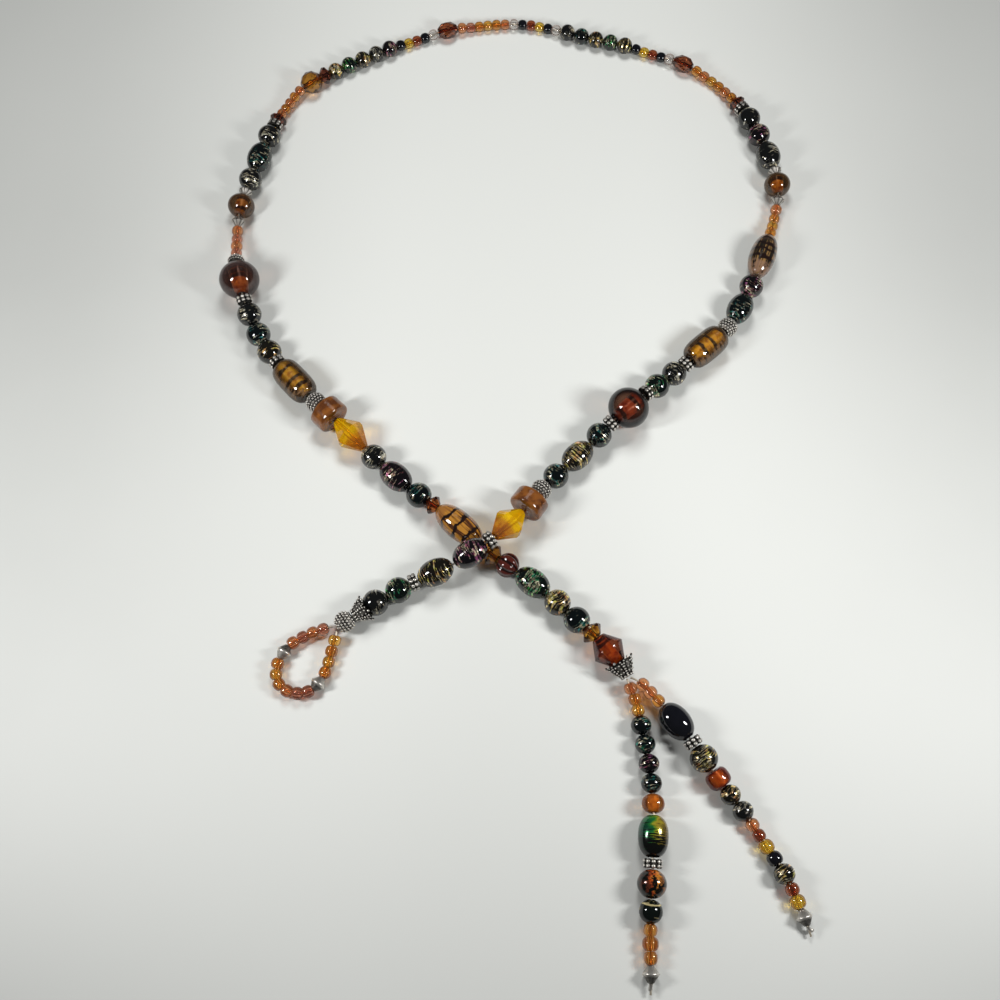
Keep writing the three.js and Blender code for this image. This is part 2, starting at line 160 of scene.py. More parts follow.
LEFT_DROP = """
    bare_wire, glass_spacer coral amber gold, small_dark_round teal teal plum teal, amber_ball,
    foil_oval, daisy_spacer, foil_round copper, ringed_round, glass_spacer amber,
    yellow_spacer amber, long_glass_spacer amber, pewter_cone, pin_end
"""
RIGHT_DROP = """
    bare_wire, bare_wire, glass_spacer coral coral amber, black_oval, daisy_spacer, foil_round gold,
    pony_bead, small_dark_round gold pewter, glass_spacer coral brown, yellow_spacer yellow black,
    small_dark_round gold, glass_spacer brown, yellow_spacer yellow, pewter_cone, pin_end
"""

# Points of the routes, in millimetres on the table. The loop is measured from the start of
# the main strand and the drops from its end.
MAIN_ROUTE = [
    (-48.6, 79.9), (-38, 86.9), (-26.9, 93.2), (-10.6, 100.2), (2, 109.4), (12.4, 123),
    (23.7, 134.3), (34.3, 144.6), (46, 155.3), (59.9, 167), (75.4, 181.3), (84.4, 197.2),
    (90.6, 213), (95.2, 226.5), (96.7, 238.7), (94.4, 251.5), (88.6, 268), (80.4, 281.8),
    (67, 292.4), (50, 299.6), (30.7, 305), (11, 311.4), (-8.4, 310.6), (-27.9, 305.2),
    (-45.2, 297), (-63.2, 286.8), (-75.5, 275.6), (-82.4, 257.4), (-87.3, 239.7), (-90, 222),
    (-89, 208.5), (-87, 197.3), (-79.2, 177.8), (-66.3, 160.7), (-53.1, 147.8), (-39, 133.9),
    (-24.7, 121.3), (-11.9, 112.4), (-2.7, 102.6), (9.9, 93.9), (22.2, 82.6), (32.2, 72.9),
    (36.6, 65.9),
]
LOOP_ROUTE = [
    (0.1, -1), (0, -3), (-1, -5.6), (-2.3, -11.6), (-3.9, -15.3), (-6.9, -17.9), (-10, -18.1),
    (-13.4, -17.2), (-15.6, -14.9), (-16.2, -12), (-15.4, -8.8), (-14, -5.8), (-11.4, -3.7),
    (-8.8, -2.1), (-5.6, -0.9), (-3, -0.2), (-1.1, 0.2),
]
LEFT_DROP_ROUTE = [
    (-0.3, -0.6), (0.7, -3.6), (2.2, -6.6), (3.3, -13.6), (5.2, -25), (5.7, -36), (5, -46),
    (4.2, -57), (3.4, -66), (3.2, -74), (2.7, -86),
]
RIGHT_DROP_ROUTE = [
    (0.8, -0.2), (4.6, -2), (6.9, -4.9), (13.9, -13.1), (20.8, -23.6), (24.4, -29), (31, -37.8),
    (37, -47.5), (41, -54.4), (44, -61.5), (46.8, -70),
]


class Bead:
    """One bead of a strand: its kind, colour, size and, once it is laid, its place on the wire."""

    def __init__(self, kind, colour):
        self.kind, self.colour = kind, colour
        self.form, wide, long, self.sides = BEADS[kind]
        self.radius, self.long = wide * mm / 2, long * mm
        self.rest_share = math.cos(math.pi / (self.sides or SIDES_OF_STRING_BEAD))

    def section(self):
        """The bead's section as (distance from its middle, radius)."""
        rows = FORMS[self.form]
        if self.form != "cap":
            rows = [(-along, out) for along, out in reversed(rows)] + rows
        return [(along * self.long / 2, out * self.radius) for along, out in rows]

    def shortened(self):
        """Half the bead's length once its ends clear the neighbours where the wire bends."""
        if not self.sides or self.form == "cap":
            return self.long / 2
        end_radius = FORMS[self.form][-1][1] * self.radius
        return self.long / 2 - BEAD_GAP / 2 - end_radius * math.tan(self.bend / 2)


def strung(chart):
    """The beads of a chart, one after another. A kind without a colour is one bead."""
    runs = [run.split() for run in chart.split(",")]
    return [Bead(kind, colour) for kind, *colours in runs for colour in colours or ["plain"]]


def curve_between(p0, p1, p2, p3, share):
    """A point of the smooth curve from p1 to p2, with its speed set by the square roots of the
    distances between the points."""
    first, middle, last = (math.sqrt(math.dist(a, b)) for a, b in ((p0, p1), (p1, p2), (p2, p3)))
    leave = ((p1 - p0) / first - (p2 - p0) / (first + middle) + (p2 - p1) / middle) * middle
    arrive = ((p2 - p1) / middle - (p3 - p1) / (middle + last) + (p3 - p2) / last) * middle
    square, cube = share**2, share**3
    return (
        p1 * (2 * cube - 3 * square + 1) + leave * (cube - 2 * square + share)
        + p2 * (3 * square - 2 * cube) + arrive * (cube - square)
    )


def table_route(points, start=(0, 0), length=0):
    """A function from a distance along a route to a point on the table. The route goes straight on
    past its last point."""
    points = [np.array(p) * mm for p in points]
    points = [2 * points[0] - points[1], *points, 2 * points[-1] - points[-2]]
    spans = len(points) - 3
    steps = SAMPLES_PER_SPAN * (spans + 1)

    def at(share):
        span = min(int(share * spans), spans - 1)
        return curve_between(*points[span:span + 4], share * spans - span)

    shares = np.linspace(0, 1, steps + 1)
    samples = [at(s) for s in shares]
    reached = np.cumsum([0] + [math.dist(a, b) for a, b in zip(samples, samples[1:])])
    scale = length / reached[-1] if length else 1
    onward = samples[-1] - samples[-2]
    onward = onward / np.linalg.norm(onward)

    def point(distance):
        on = min(distance, reached[-1] * scale)
        place = at(np.interp(on / scale, reached, shares)) * scale
        return place + onward * (distance - on) + np.array(start)

    return point


def joint_heights(beads, carried):
    """The heights of the wire between the beads: each bead lies on the table or is carried by its
    neighbours. carried holds the least height of single beads."""
    rests = [max(b.radius * b.rest_share, carried.get(i, 0)) for i, b in enumerate(beads)]
    heights = [rests[0]] + [max(pair) for pair in zip(rests, rests[1:] + [0])]
    for _ in range(SETTLING_PASSES):
        for i in range(1, len(heights)):
            heights[i] = max(heights[i], heights[i - 1] - STEEPEST_RISE * beads[i - 1].long)
        for i in range(len(heights) - 2, -1, -1):
            heights[i] = max(heights[i], heights[i + 1] - STEEPEST_RISE * beads[i].long)
        for i, bead in enumerate(beads):
            rise = (heights[i + 1] - heights[i]) / bead.long
            middle = (heights[i] + heights[i + 1]) / 2
            upright = bead.rest_share / math.hypot(1, rise)
            lows = [out * upright - rise * at for at, out in bead.section()]
            lift = max([0] + [low - middle for low in lows])
            heights[i] += lift
            heights[i + 1] += lift
    return heights


def lay(beads, route, carried=None):
    """Lays a strand: gives each bead its middle, direction and bend, and returns the joints."""
    distances = np.cumsum([0] + [b.long for b in beads])
    heights = joint_heights(beads, carried or {})
    joints = [Vector((*route(d), h)) for d, h in zip(distances, heights)]
    steps = [b - a for a, b in zip(joints, joints[1:])]
    bends = [0] + [a.angle(b) for a, b in zip(steps, steps[1:])] + [0]
    for i, bead in enumerate(beads):
        bead.middle = (joints[i] + joints[i + 1]) / 2
        bead.along = steps[i].normalized()
        bead.bend = max(bends[i], bends[i + 1])
    return joints


def crossing_of(beads):
    """The pair of beads, at least half the strand apart, that lie closest together on the table."""
    half = len(beads) // 2
    pairs = [(a, b) for a in range(len(beads)) for b in range(a + half, len(beads))]
    return min(pairs, key=lambda p: (beads[p[0]].middle - beads[p[1]].middle).xy.length)


front_beads, back_beads = strung(FRONT_TO_NECK), strung(NECK_TO_DROPS)
main_beads = front_beads + back_beads
main_route = table_route(MAIN_ROUTE)
flat_joints = lay(main_beads, main_route)
upper, lower = crossing_of(main_beads)
upper_axis = (
    flat_joints[lower].z + main_beads[lower].radius + CROSSING_CLEARANCE + main_beads[upper].radius
)
main_joints = lay(main_beads, main_route, {upper: upper_axis})
start, end = main_joints[0], main_joints[-1]

loop_beads = strung(LOOP)
loop_length = sum(b.long for b in loop_beads)
loop_joints = lay(
    loop_beads,
    table_route(LOOP_ROUTE, start.xy, loop_length),
    {0: start.z, len(loop_beads) - 1: start.z},
)
left_beads, right_beads = strung(LEFT_DROP), strung(RIGHT_DROP)
left_joints = lay(left_beads, table_route(LEFT_DROP_ROUTE, end.xy), {0: end.z})
right_joints = lay(right_beads, table_route(RIGHT_DROP_ROUTE, end.xy), {0: end.z})

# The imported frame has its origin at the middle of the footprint, so the first barrel bead tells how
# far the whole strand is moved from where it was laid.
barrel = next(b for b in main_beads if b.kind == "tiger_barrel")
frame_low, frame_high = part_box("tiger_barrel_1")
shift = (frame_low + frame_high) / 2 - barrel.middle
all_beads = main_beads + loop_beads + left_beads + right_beads
for joints in (main_joints, loop_joints, left_joints, right_joints):
    for joint in joints:
        joint += shift
for bead in all_beads:
    bead.middle += shift


def put(name, data):
    """A new object in the scene."""
    made = bpy.data.objects.new(name, data)
    bpy.context.scene.collection.objects.link(made)
    return made


def add_node(tree, kind, sockets=None, stops=(), **settings):
    """A new node, with its settings set before the values or links of its sockets."""
    made = tree.nodes.new(kind)
    for key, value in settings.items():
        setattr(made, key, value)
    for _ in stops[2:]:
        made.color_ramp.elements.new(1)
    for number, (position, colour) in enumerate(stops):
        element = made.color_ramp.elements[number]
        element.position, element.color = position, (*colour, 1)
    for key, value in (sockets or {}).items():
        value = getattr(value, "socket", value)
        if isinstance(value, bpy.types.NodeSocket):
            tree.links.new(value, made.inputs[key])
        else:
            made.inputs[key].default_value = value
    return made


def geometry_tree(name, **inputs):
    """An empty Geometry Nodes tree with a geometry in and out and these named inputs."""
    tree = bpy.data.node_groups.new(name, "GeometryNodeTree")
    tree.interface.new_socket("Geometry", in_out="INPUT", socket_type="NodeSocketGeometry")
    tree.interface.new_socket("Geometry", in_out="OUTPUT", socket_type="NodeSocketGeometry")
    for label, kind in inputs.items():
        tree.interface.new_socket(label, in_out="INPUT", socket_type=kind)
    return tree, add_node(tree, "NodeGroupInput").outputs


def end_tree(tree, shapes, material):
    """Ends a tree: the shapes become real and get their material."""
    real = add_node(tree, "GeometryNodeRealizeInstances", {0: shapes})
    sockets = {"Geometry": real.outputs[0], "Material": material}
    painted = add_node(tree, "GeometryNodeSetMaterial", sockets)
    add_node(tree, "NodeGroupOutput", {0: painted.outputs[0]})
    return tree


def grown(source, tree, **values):
    """The plain mesh that a Geometry Nodes tree makes from a source mesh and named values."""
    holder = put("holder", source)
    modifier = holder.modifiers.new("grow", "NODES")
    modifier.node_group = tree
    for socket in tree.interface.items_tree:
        if socket.in_out == "INPUT" and socket.name in values:
            modifier[socket.identifier] = values[socket.name]
    evaluated = holder.evaluated_get(bpy.context.evaluated_depsgraph_get())
    mesh = bpy.data.meshes.new_from_object(evaluated)
    bpy.data.objects.remove(holder)
    bpy.data.meshes.remove(source)
    return mesh


def show(name, mesh, slot, *nodes):
    """A finished piece at the origin, which rides on the necklace, with the parts of these nodes hidden.
    """
    mesh.name = name
    piece = put(name, mesh)
    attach(piece, "root")
    if nodes:
        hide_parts(*nodes)


class Shade:
    """A shader socket that can be added, subtracted, multiplied and divided like a number."""

    def __init__(self, tree, socket):
        self.tree, self.socket = tree, socket

    def maths(self, operation, first, second):
        made = add_node(self.tree, "ShaderNodeMath", {0: first, 1: second}, operation=operation)
        return Shade(self.tree, made.outputs[0])

    def __add__(self, other):
        return self.maths("ADD", self, other)

    def __sub__(self, other):
        return self.maths("SUBTRACT", self, other)

    def __rsub__(self, other):
        return self.maths("SUBTRACT", other, self)

    def __mul__(self, other):
        return self.maths("MULTIPLY", self, other)

    def __truediv__(self, other):
        return self.maths("DIVIDE", self, other)

    def __abs__(self):
        return self.maths("ABSOLUTE", self, 0)

    def at_least(self, other):
        return self.maths("MAXIMUM", self, other)

    __radd__, __rmul__ = __add__, __mul__


class Finish:
    """A material built from nodes. Patterns read each vertex's place on its own bead, in
    millimetres: across, along the hole and up."""

    def __init__(self, name):
        self.material = bpy.data.materials.new(name)
        self.material.use_nodes = True
        self.tree = self.material.node_tree
        self.tree.nodes.clear()

    def node(self, kind, sockets=None, output=0, **settings):
        """One output of a new node of this type, with these socket values and settings."""
        made = add_node(self.tree, "ShaderNode" + kind, sockets, **settings)
        return Shade(self.tree, made.outputs[output])

    def attribute(self, name, output):
        return self.node("Attribute", output=output, attribute_name=name)

    def on_bead(self, axis=None):
        """The place on the bead, or how far it is along one axis."""
        place = self.attribute("on_bead", "Vector")
        return self.node("SeparateXYZ", {0: place}, axis) if axis else place

    def vector(self, operation, first, second):
        return self.node("VectorMath", {0: first, 1: second}, operation=operation)

    def place(self, stretch=(1, 1, 1), shift=37.0):
        """The place on the bead, stretched, and moved on by the bead's own lot so that no two
        beads show the same stretch of a pattern."""
        lot = self.attribute("lot", "Fac") * shift
        moved = self.vector("MULTIPLY", self.on_bead(), stretch)
        return self.vector("ADD", moved, self.node("CombineXYZ", {0: lot, 1: lot, 2: lot}))

    def noise(self, place, scale, detail=2.0, roughness=0.5):
        """Noise from 0 to 1, with waves of 1 / scale."""
        sockets = {"Vector": place, "Scale": scale, "Detail": detail, "Roughness": roughness}
        return self.node("TexNoise", sockets)

    def cloud(self, scale, detail=2.0, stretch=(1, 1, 1), shift=37.0, roughness=0.5):
        """Noise that differs from bead to bead."""
        return self.noise(self.place(stretch, shift), scale, detail, roughness)

    def step(self, value, low, high):
        """0 where the value is under low, 1 where it is over high, and smooth between them."""
        sockets = {"Value": value, "From Min": low, "From Max": high}
        return self.node("MapRange", sockets, interpolation_type="SMOOTHSTEP")

    def mixed(self, share, first, second):
        """A mix of two colours."""
        colours = [(*c[:3], 1) if isinstance(c, tuple) else c for c in (first, second)]
        return self.node("Mix", {0: share, 6: colours[0], 7: colours[1]}, 2, data_type="RGBA")

    def surfaces(self, share, first, second):
        """A mix of two surfaces."""
        return self.node("MixShader", {0: share, 1: first, 2: second})

    def slant(self):
        """How much a surface is seen at a slant, where the glass finishes paint shade and sheen on their
        edges.
        """
        return self.node("LayerWeight", {"Blend": 0.5}, "Facing")

    def gloss(self, colour, **sockets):
        """A Principled surface with the given colour and other sockets, by their names with _ for
        a space."""
        if isinstance(colour, tuple):
            colour = (*colour[:3], 1)
        named = {key.replace("_", " "): value for key, value in sockets.items()}
        return self.node("BsdfPrincipled", {"Base Color": colour, **named})

    def done(self, surface):
        add_node(self.tree, "ShaderNodeOutputMaterial", {"Surface": surface})
        return self.material


def wire_material():
    finish = Finish("coated beading wire")
    grain = finish.noise(finish.node("TexCoord", output="Object"), 900, detail=3)
    colour = finish.mixed(grain, (0.34, 0.28, 0.20), (0.58, 0.52, 0.42))
    return finish.done(finish.gloss(colour, Metallic=0.5, Roughness=0.2 + 0.25 * grain))


def wire_tree():
    tree, inputs = geometry_tree(
        "wire along the joints", Radius="NodeSocketFloat", Metal="NodeSocketMaterial"
    )
    line = add_node(tree, "GeometryNodeMeshToCurve", {"Mesh": inputs["Geometry"]})
    sockets = {"Resolution": SIDES_OF_WIRE, "Radius": inputs["Radius"]}
    ring = add_node(tree, "GeometryNodeCurvePrimitiveCircle", sockets)
    sockets = {"Curve": line.outputs[0], "Profile Curve": ring.outputs[0], "Fill Caps": True}
    tube = add_node(tree, "GeometryNodeCurveToMesh", sockets)
    return end_tree(tree, tube.outputs[0], inputs["Metal"])


def polyline(points):
    mesh = bpy.data.meshes.new("line")
    mesh.from_pydata(points, [(i, i + 1) for i in range(len(points) - 1)], [])
    return mesh


def drawn_back(joints, at, to):
    """The joints with one end drawn back towards its neighbour, short of what is there."""
    points = [j.copy() for j in joints]
    points[at] += (points[to] - points[at]).normalized() * STRING_GAP / 2
    return points


wire, along_joints = wire_material(), wire_tree()
neck = len(front_beads)
for name, points in (
    ("front", drawn_back(main_joints[:neck + 1], -1, -2)),
    ("back", drawn_back(main_joints[neck:], 0, 1)),
    ("loop", loop_joints),
    ("left_drop", drawn_back(left_joints, -1, -2)),
    ("right_drop", drawn_back(right_joints, -1, -2)),
):
    mesh = grown(polyline(points), along_joints, Radius=WIRE_RADIUS, Metal=wire)
    show(name + "_wire", mesh, "strung_small_beads", name + "_string")

# Small glass beads. Pressed spacer beads of clear, amber, coral and brown glass, 4 mm across, fire
# polished so that their rims are round. They lie end to end on the wire.
GLASS_COLOURS = {
    "clear": (0.80, 0.80, 0.78),
    "gold": (0.82, 0.50, 0.09),
    "amber": (0.76, 0.37, 0.07),
    "coral": (0.78, 0.36, 0.15),
    "rose": (0.66, 0.30, 0.20),
    "brown": (0.42, 0.10, 0.04),
    "yellow": (0.88, 0.66, 0.10),
    "black": (0.01, 0.01, 0.012),
}
PRESSING, PRESSING_ALONG = 0.08, 0.3
END_GAP = 0.04 * mm
HOLE = WIRE_RADIUS + BORE_CLEARANCE
# The rounded rim of a hole: at most these shares of the radius, the wall and the half length, and
# how deep and how wide open its middle point is.
RIM_OF_RADIUS, RIM_OF_WALL, RIM_OF_HALF = 0.12, 0.6, 0.3
RIM_DEEP, RIM_OPEN = 0.15, 0.4


def profile(half, radius, end, fullness, rows, hole=HOLE):
    """A bead's outline from one rim of its hole, over the outside to the other rim and back through
    the hole, as (along, out). end is the end's share of the radius. A fullness of 2 is an ellipse."""
    reach = (1 - end**fullness) ** (1 / fullness)
    shares = [math.sin(math.pi / 2 * (2 * i / rows - 1)) for i in range(rows + 1)]
    outside = [
        (s * half, radius * (1 - (abs(s) * reach) ** fullness) ** (1 / fullness)) for s in shares
    ]
    rim = min(RIM_OF_RADIUS * radius, (outside[0][1] - hole) * RIM_OF_WALL, half * RIM_OF_HALF)
    throat = [(half - rim * RIM_DEEP, hole + rim * RIM_OPEN), (half - rim, hole)]
    lower = [(-at, out) for at, out in reversed(throat)]
    return lower + outside + throat


def round_hole(along, out, angle):
    """A point at an angle round the hole, which lies along Y."""
    return out * math.sin(angle), along, out * math.cos(angle)


def turned(outline, sides, ripple=None, smooth=True):
    """A closed ring of faces round the hole. Each row of the outline is (along, out), and on a cut
    bead also by what share of a side it is turned. ripple(angle, out) changes a point's radius."""
    mesh = bpy.data.meshes.new("turned")
    rows = [(*row, 0)[:3] for row in outline]
    points, faces = [], []
    for at, out, twist in rows:
        for side in range(sides):
            angle = 2 * math.pi * (side + 0.5 + twist) / sides
            points.append(round_hole(at, ripple(angle, out) if ripple else out, angle))
    for row in range(len(rows)):
        after = (row + 1) % len(rows)
        twist = rows[after][2] - rows[row][2]
        for side in range(sides):
            beside = (side + 1) % sides
            a, b = row * sides + side, row * sides + beside
            c, d = after * sides + beside, after * sides + side
            if twist == 0:
                faces.append((a, b, c, d))
            elif twist > 0:
                faces += [(a, b, d), (b, c, d)]
            else:
                faces += [(a, b, c), (a, c, d)]
    mesh.from_pydata(points, [], faces)
    if smooth:
        mesh.shade_smooth()
    return mesh


def keep(mesh, name, kind, values):
    """Keeps a number, vector or colour for each vertex."""
    field = {"FLOAT": "value", "FLOAT_VECTOR": "vector", "FLOAT_COLOR": "color"}[kind]
    flat = np.array(values, np.float32).ravel()
    mesh.attributes.new(name, kind, "POINT").data.foreach_set(field, flat)
    return mesh


def marked(mesh):
    """Keeps each vertex's place on its own bead, in millimetres, for the finishes to read."""
    places = np.empty(len(mesh.vertices) * 3, np.float32)
    mesh.vertices.foreach_get("co", places)
    return keep(mesh, "on_bead", "FLOAT_VECTOR", places / mm)


def pressed(half, radius, end, fullness, rows, sides, ripple=None):
    """A bead turned from its profile, with its places marked."""
    return marked(turned(profile(half, radius, end, fullness, rows), sides, ripple))


def copies_tree():
    tree, inputs = geometry_tree(
        "copies on points", Pattern="NodeSocketObject", Material="NodeSocketMaterial"
    )
    sockets = {"Object": inputs["Pattern"], "As Instance": True}
    pattern = add_node(tree, "GeometryNodeObjectInfo", sockets).outputs["Geometry"]
    read, kind = "GeometryNodeInputNamedAttribute", "FLOAT_VECTOR"
    turn = add_node(tree, read, {"Name": "turn"}, data_type=kind).outputs[0]
    size = add_node(tree, read, {"Name": "size"}, data_type=kind).outputs[0]
    spin = add_node(tree, "FunctionNodeEulerToRotation", {0: turn}).outputs[0]
    sockets = {"Points": inputs["Geometry"], "Instance": pattern, "Rotation": spin, "Scale": size}
    placed = add_node(tree, "GeometryNodeInstanceOnPoints", sockets)
    return end_tree(tree, placed.outputs[0], inputs["Material"])


on_points = copies_tree()


def copies(pattern, places, material=None):
    """One plain mesh of a pattern at many places, each a dict with at, turn, size, lot and tint."""
    points = bpy.data.meshes.new("points")
    points.from_pydata([p["at"] for p in places], [], [])
    for name, kind, value in (
        ("turn", "FLOAT_VECTOR", (0, 0, 0)),
        ("size", "FLOAT_VECTOR", (1, 1, 1)),
        ("lot", "FLOAT", 0.0),
        ("tint", "FLOAT_COLOR", (1, 1, 1, 1)),
    ):
        keep(points, name, kind, [p.get(name, value) for p in places])
    holder = put("pattern", pattern)
    mesh = grown(points, on_points, Pattern=holder, Material=material)
    bpy.data.objects.remove(holder)
    return mesh


lots = random.Random(7)


def on_wire(beads, tints=None, uneven=0.0):
    """The places of these beads on the wire. A loose bead is drawn a little shorter, and one at the
    edge of the necklace a little narrower. uneven is how much pressed beads differ in size."""
    places = []
    for bead in beads:
        side = bead.along.cross(Vector((0, 0, 1))).normalized()
        upright = side.cross(bead.along)
        askew = Matrix.Rotation(uneven * lots.uniform(-1, 1), 3, "Z")
        turn = (Matrix((side, bead.along, upright)).transposed() @ askew).to_euler()
        most = (uneven, PRESSING_ALONG * uneven)
        narrow, short = (1 - share * lots.random() for share in most)
        fit = bead.shortened() / (bead.long / 2)
        room = min(cad_box[1][0] - bead.middle.x, bead.middle.x - cad_box[0][0]) / bead.radius
        places.append({
            "at": bead.middle, "turn": turn, "lot": lots.random(),
            "size": (min(1, room) * narrow, fit * short, bead.rest_share * narrow),
            "tint": (*(tints or {}).get(bead.colour, (1, 1, 1)), 1)[:4],
        })
    return places


def hang(name, pattern, beads, material, slot, *nodes, tints=None, uneven=0.0):
    """A finished piece of the pattern on the wire at these beads, in their colours."""
    show(name, copies(pattern, on_wire(beads, tints, uneven), material), slot, *nodes)


def of_kind(kind):
    """The beads of a kind, their radius and half their length."""
    beads = [b for b in all_beads if b.kind == kind]
    return beads, beads[0].radius, beads[0].long / 2


def clear_glass(name, roughness, rim, rim_shade_reach, body_share=0.0, tip=None, blotches=0):
    """Coloured see-through glass with faint threads, which lets tinted lamp light through. Where it is
    seen at a slant it turns to the dark rim colour, sooner the smaller the reach: painted shade for the
    dark edges of thick glass. body_share is how milky it is, tip the end that differs, -1 or 1, with
    its colour, and blotches how low a dark film begins."""
    finish = Finish(name)
    tint = finish.attribute("tint", "Color")
    threads = finish.cloud(1.6, 3, (1, 0.3, 1))
    colour = finish.mixed(threads * 0.25, tint, finish.mixed(0.6, tint, (0.5, 0.2, 0.08)))
    if tip:
        end, end_colour = tip
        colour = finish.mixed(finish.step(finish.on_bead("Y") * end, 0.8, 2.6), colour, end_colour)
    body = finish.gloss(
        colour, Roughness=roughness, IOR=1.5, Transmission_Weight=1.0 - body_share, Coat_Weight=0.3
    )
    if blotches:
        cloud = finish.cloud(0.5, 4, (1, 0.8, 1), roughness=0.6)
        spot = finish.step(cloud * 4.5 - finish.on_bead("Z"), blotches, blotches + 1.2)
        smoke = finish.cloud(0.6, 4, (0.35, 1.5, 0.35), 53.0, roughness=0.6)
        smoke = finish.step(smoke, 0.44, 0.54)
        smoke = finish.mixed(smoke, (0.016, 0.008, 0.004), (0.15, 0.085, 0.042))
        film = finish.gloss(smoke, Roughness=0.05, Coat_Weight=0.3)
        body = finish.surfaces(spot * 0.9, body, film)
    # painted shade: a dark glossy surface in the rim colour takes over where the glass is seen at a
    # slant
    dark = finish.gloss(rim, Roughness=0.05, IOR=1.4)
    body = finish.surfaces(finish.step(finish.slant(), 0.08, rim_shade_reach), body, dark)
    passed = finish.node("BsdfTransparent", {"Color": finish.mixed(0.6, colour, (0, 0, 0))})
    return finish.done(finish.surfaces(finish.node("LightPath", output="Is Shadow Ray"), body, passed))


def black_glass():
    finish = Finish("black glass")
    cloud = finish.cloud(0.5, 3)
    colour = finish.mixed(cloud, (0.0015, 0.002, 0.003), (0.005, 0.005, 0.008))
    return finish.done(finish.gloss(colour, Roughness=0.04 + 0.05 * cloud, Coat_Weight=0.2))


# The second colour is painted shade at the rims, where the glass is seen at a slant.
small_glass = clear_glass("small bead glass", 0.03, (0.20, 0.06, 0.015), 1.3, body_share=0.08)
jet = black_glass()
for kind in ("glass_spacer", "short_glass_spacer", "long_glass_spacer", "yellow_spacer"):
    beads, radius, half = of_kind(kind)
    pattern = pressed(half - END_GAP, radius, 0.56, 2.5, 8, 20)
    for glass, material in (("glass", small_glass), ("black", jet)):
        group = [b for b in beads if (b.colour == "black") == (glass == "black")]
        if group:
            hang(
                f"{glass}_{kind}s", pattern, group, material, "strung_small_beads",
                tints=GLASS_COLOURS, uneven=PRESSING
            )

# Drizzled dark beads. Rounds of 8 and 6 mm and ovals of black glass, with threads and flecks of
# metal foil wound round them while the glass was hot, in gold, green, teal, plum or pewter.
# Each foil has a colour, and a share that says how much of a bead has any.
FOIL_COLOURS = {
    "gold": (0.92, 0.66, 0.18, 0.66),
    "green": (0.05, 0.42, 0.16, 0.66),
    "teal": (0.02, 0.22, 0.20, 0.40),
    "plum": (0.44, 0.12, 0.22, 0.45),
    "pewter": (0.60, 0.58, 0.48, 0.55),
    "copper": (0.85, 0.32, 0.05, 0.70),
}
THREAD_CLOSENESS = 3.0


def drizzled_glass(name, more=0.0, broad=0.5):
    """Black glass under foil threads. more is how much more of the bead has any, and broad how
    much of them is ribbon instead of fine thread."""
    finish = Finish(name)
    sway = finish.cloud(0.25) - 0.5
    place = finish.place((0.3, THREAD_CLOSENESS, 0.3))
    place = finish.vector("ADD", place, finish.node("CombineXYZ", {1: sway * 2.6 * THREAD_CLOSENESS}))
    away = abs(finish.noise(finish.vector("MULTIPLY", place, (0.5, 0.8, 0.5)), 0.45) - 0.5)
    line = 1 - finish.step(away, 0.006, 0.022)
    ribbon = finish.noise(finish.vector("MULTIPLY", place, (0.6, 0.78, 0.6)), 0.8, detail=2.5)
    ribbon = finish.step(ribbon, 0.58 - 0.1 * broad, 0.61 - 0.1 * broad)
    patch = finish.cloud(0.30, 3, shift=91.0)
    least = 0.60 - 0.2 * more - 0.2 * finish.attribute("tint", "Alpha")
    thick = finish.step(patch, least, least + 0.08)
    some = finish.step(finish.cloud(0.30, 3, shift=71.0), 0.46, 0.56)
    foil = (line * some * 0.85).at_least(ribbon * thick)
    hue = 0.5 + 0.35 * (finish.cloud(0.5, shift=11.0) - 0.5)
    tint = finish.attribute("tint", "Color")
    shifted = finish.node("HueSaturation", {"Color": tint, "Hue": hue})
    metal = finish.step(finish.cloud(0.8, shift=5.0), 0.42, 0.6)
    metal = finish.mixed(metal, shifted, (0.78, 0.68, 0.46))
    # painted glints: the foil is dimmed to a quarter except in random patches painted bright, which
    # stand in for where it catches the lamps
    painted_glint = finish.step(finish.cloud(1.4, shift=3.0), 0.38, 0.62)
    bright = finish.mixed(painted_glint, finish.mixed(0.75, metal, (0, 0, 0)), metal)
    colour = finish.mixed(foil, finish.mixed(0.004, (0.001, 0.0015, 0.002), tint), bright)
    raised = finish.node("Bump", {"Strength": 0.2, "Distance": 0.1 * mm, "Height": foil})
    return finish.done(finish.gloss(
        colour, Metallic=foil * 0.55, Roughness=0.04 + 0.2 * foil, Coat_Weight=0.25, Normal=raised
    ))


drizzle = drizzled_glass("drizzled dark glass")
for kind in ("dark_round", "small_dark_round"):
    beads, radius, half = of_kind(kind)
    pattern = pressed(half - END_GAP, radius, 0.26, 2, 14, 28)
    hang(kind + "s", pattern, beads, drizzle, "dark_foil_glass", tints=FOIL_COLOURS)


def loose(kind, shape, materials, slot, tints=None, ripple=None):
    """Every loose bead of a kind, each its own piece in place of its solid. shape is the end's share
    of the radius, the fullness, the rows and the sides. There is one material, or one for each."""
    beads, radius, half = of_kind(kind)
    for number, bead in enumerate(beads):
        pattern = pressed(half, radius, *shape, ripple)
        material = materials[number] if isinstance(materials, list) else materials
        name = f"{kind}_{number + 1}"
        hang(name + "_glass", pattern, [bead], material, slot, name, tints=tints)


for kind in ("dark_oval", "short_dark_oval"):
    loose(kind, (0.30, 2.05, 20, 36), drizzle, "dark_foil_glass", FOIL_COLOURS)

# The black oval. One plain oval of jet-black pressed glass, polished soft, heads the right drop. It
# slides on the wire below the last of the small amber beads.
loose("black_oval", (0.30, 2.1, 20, 36), jet, "black_glass")

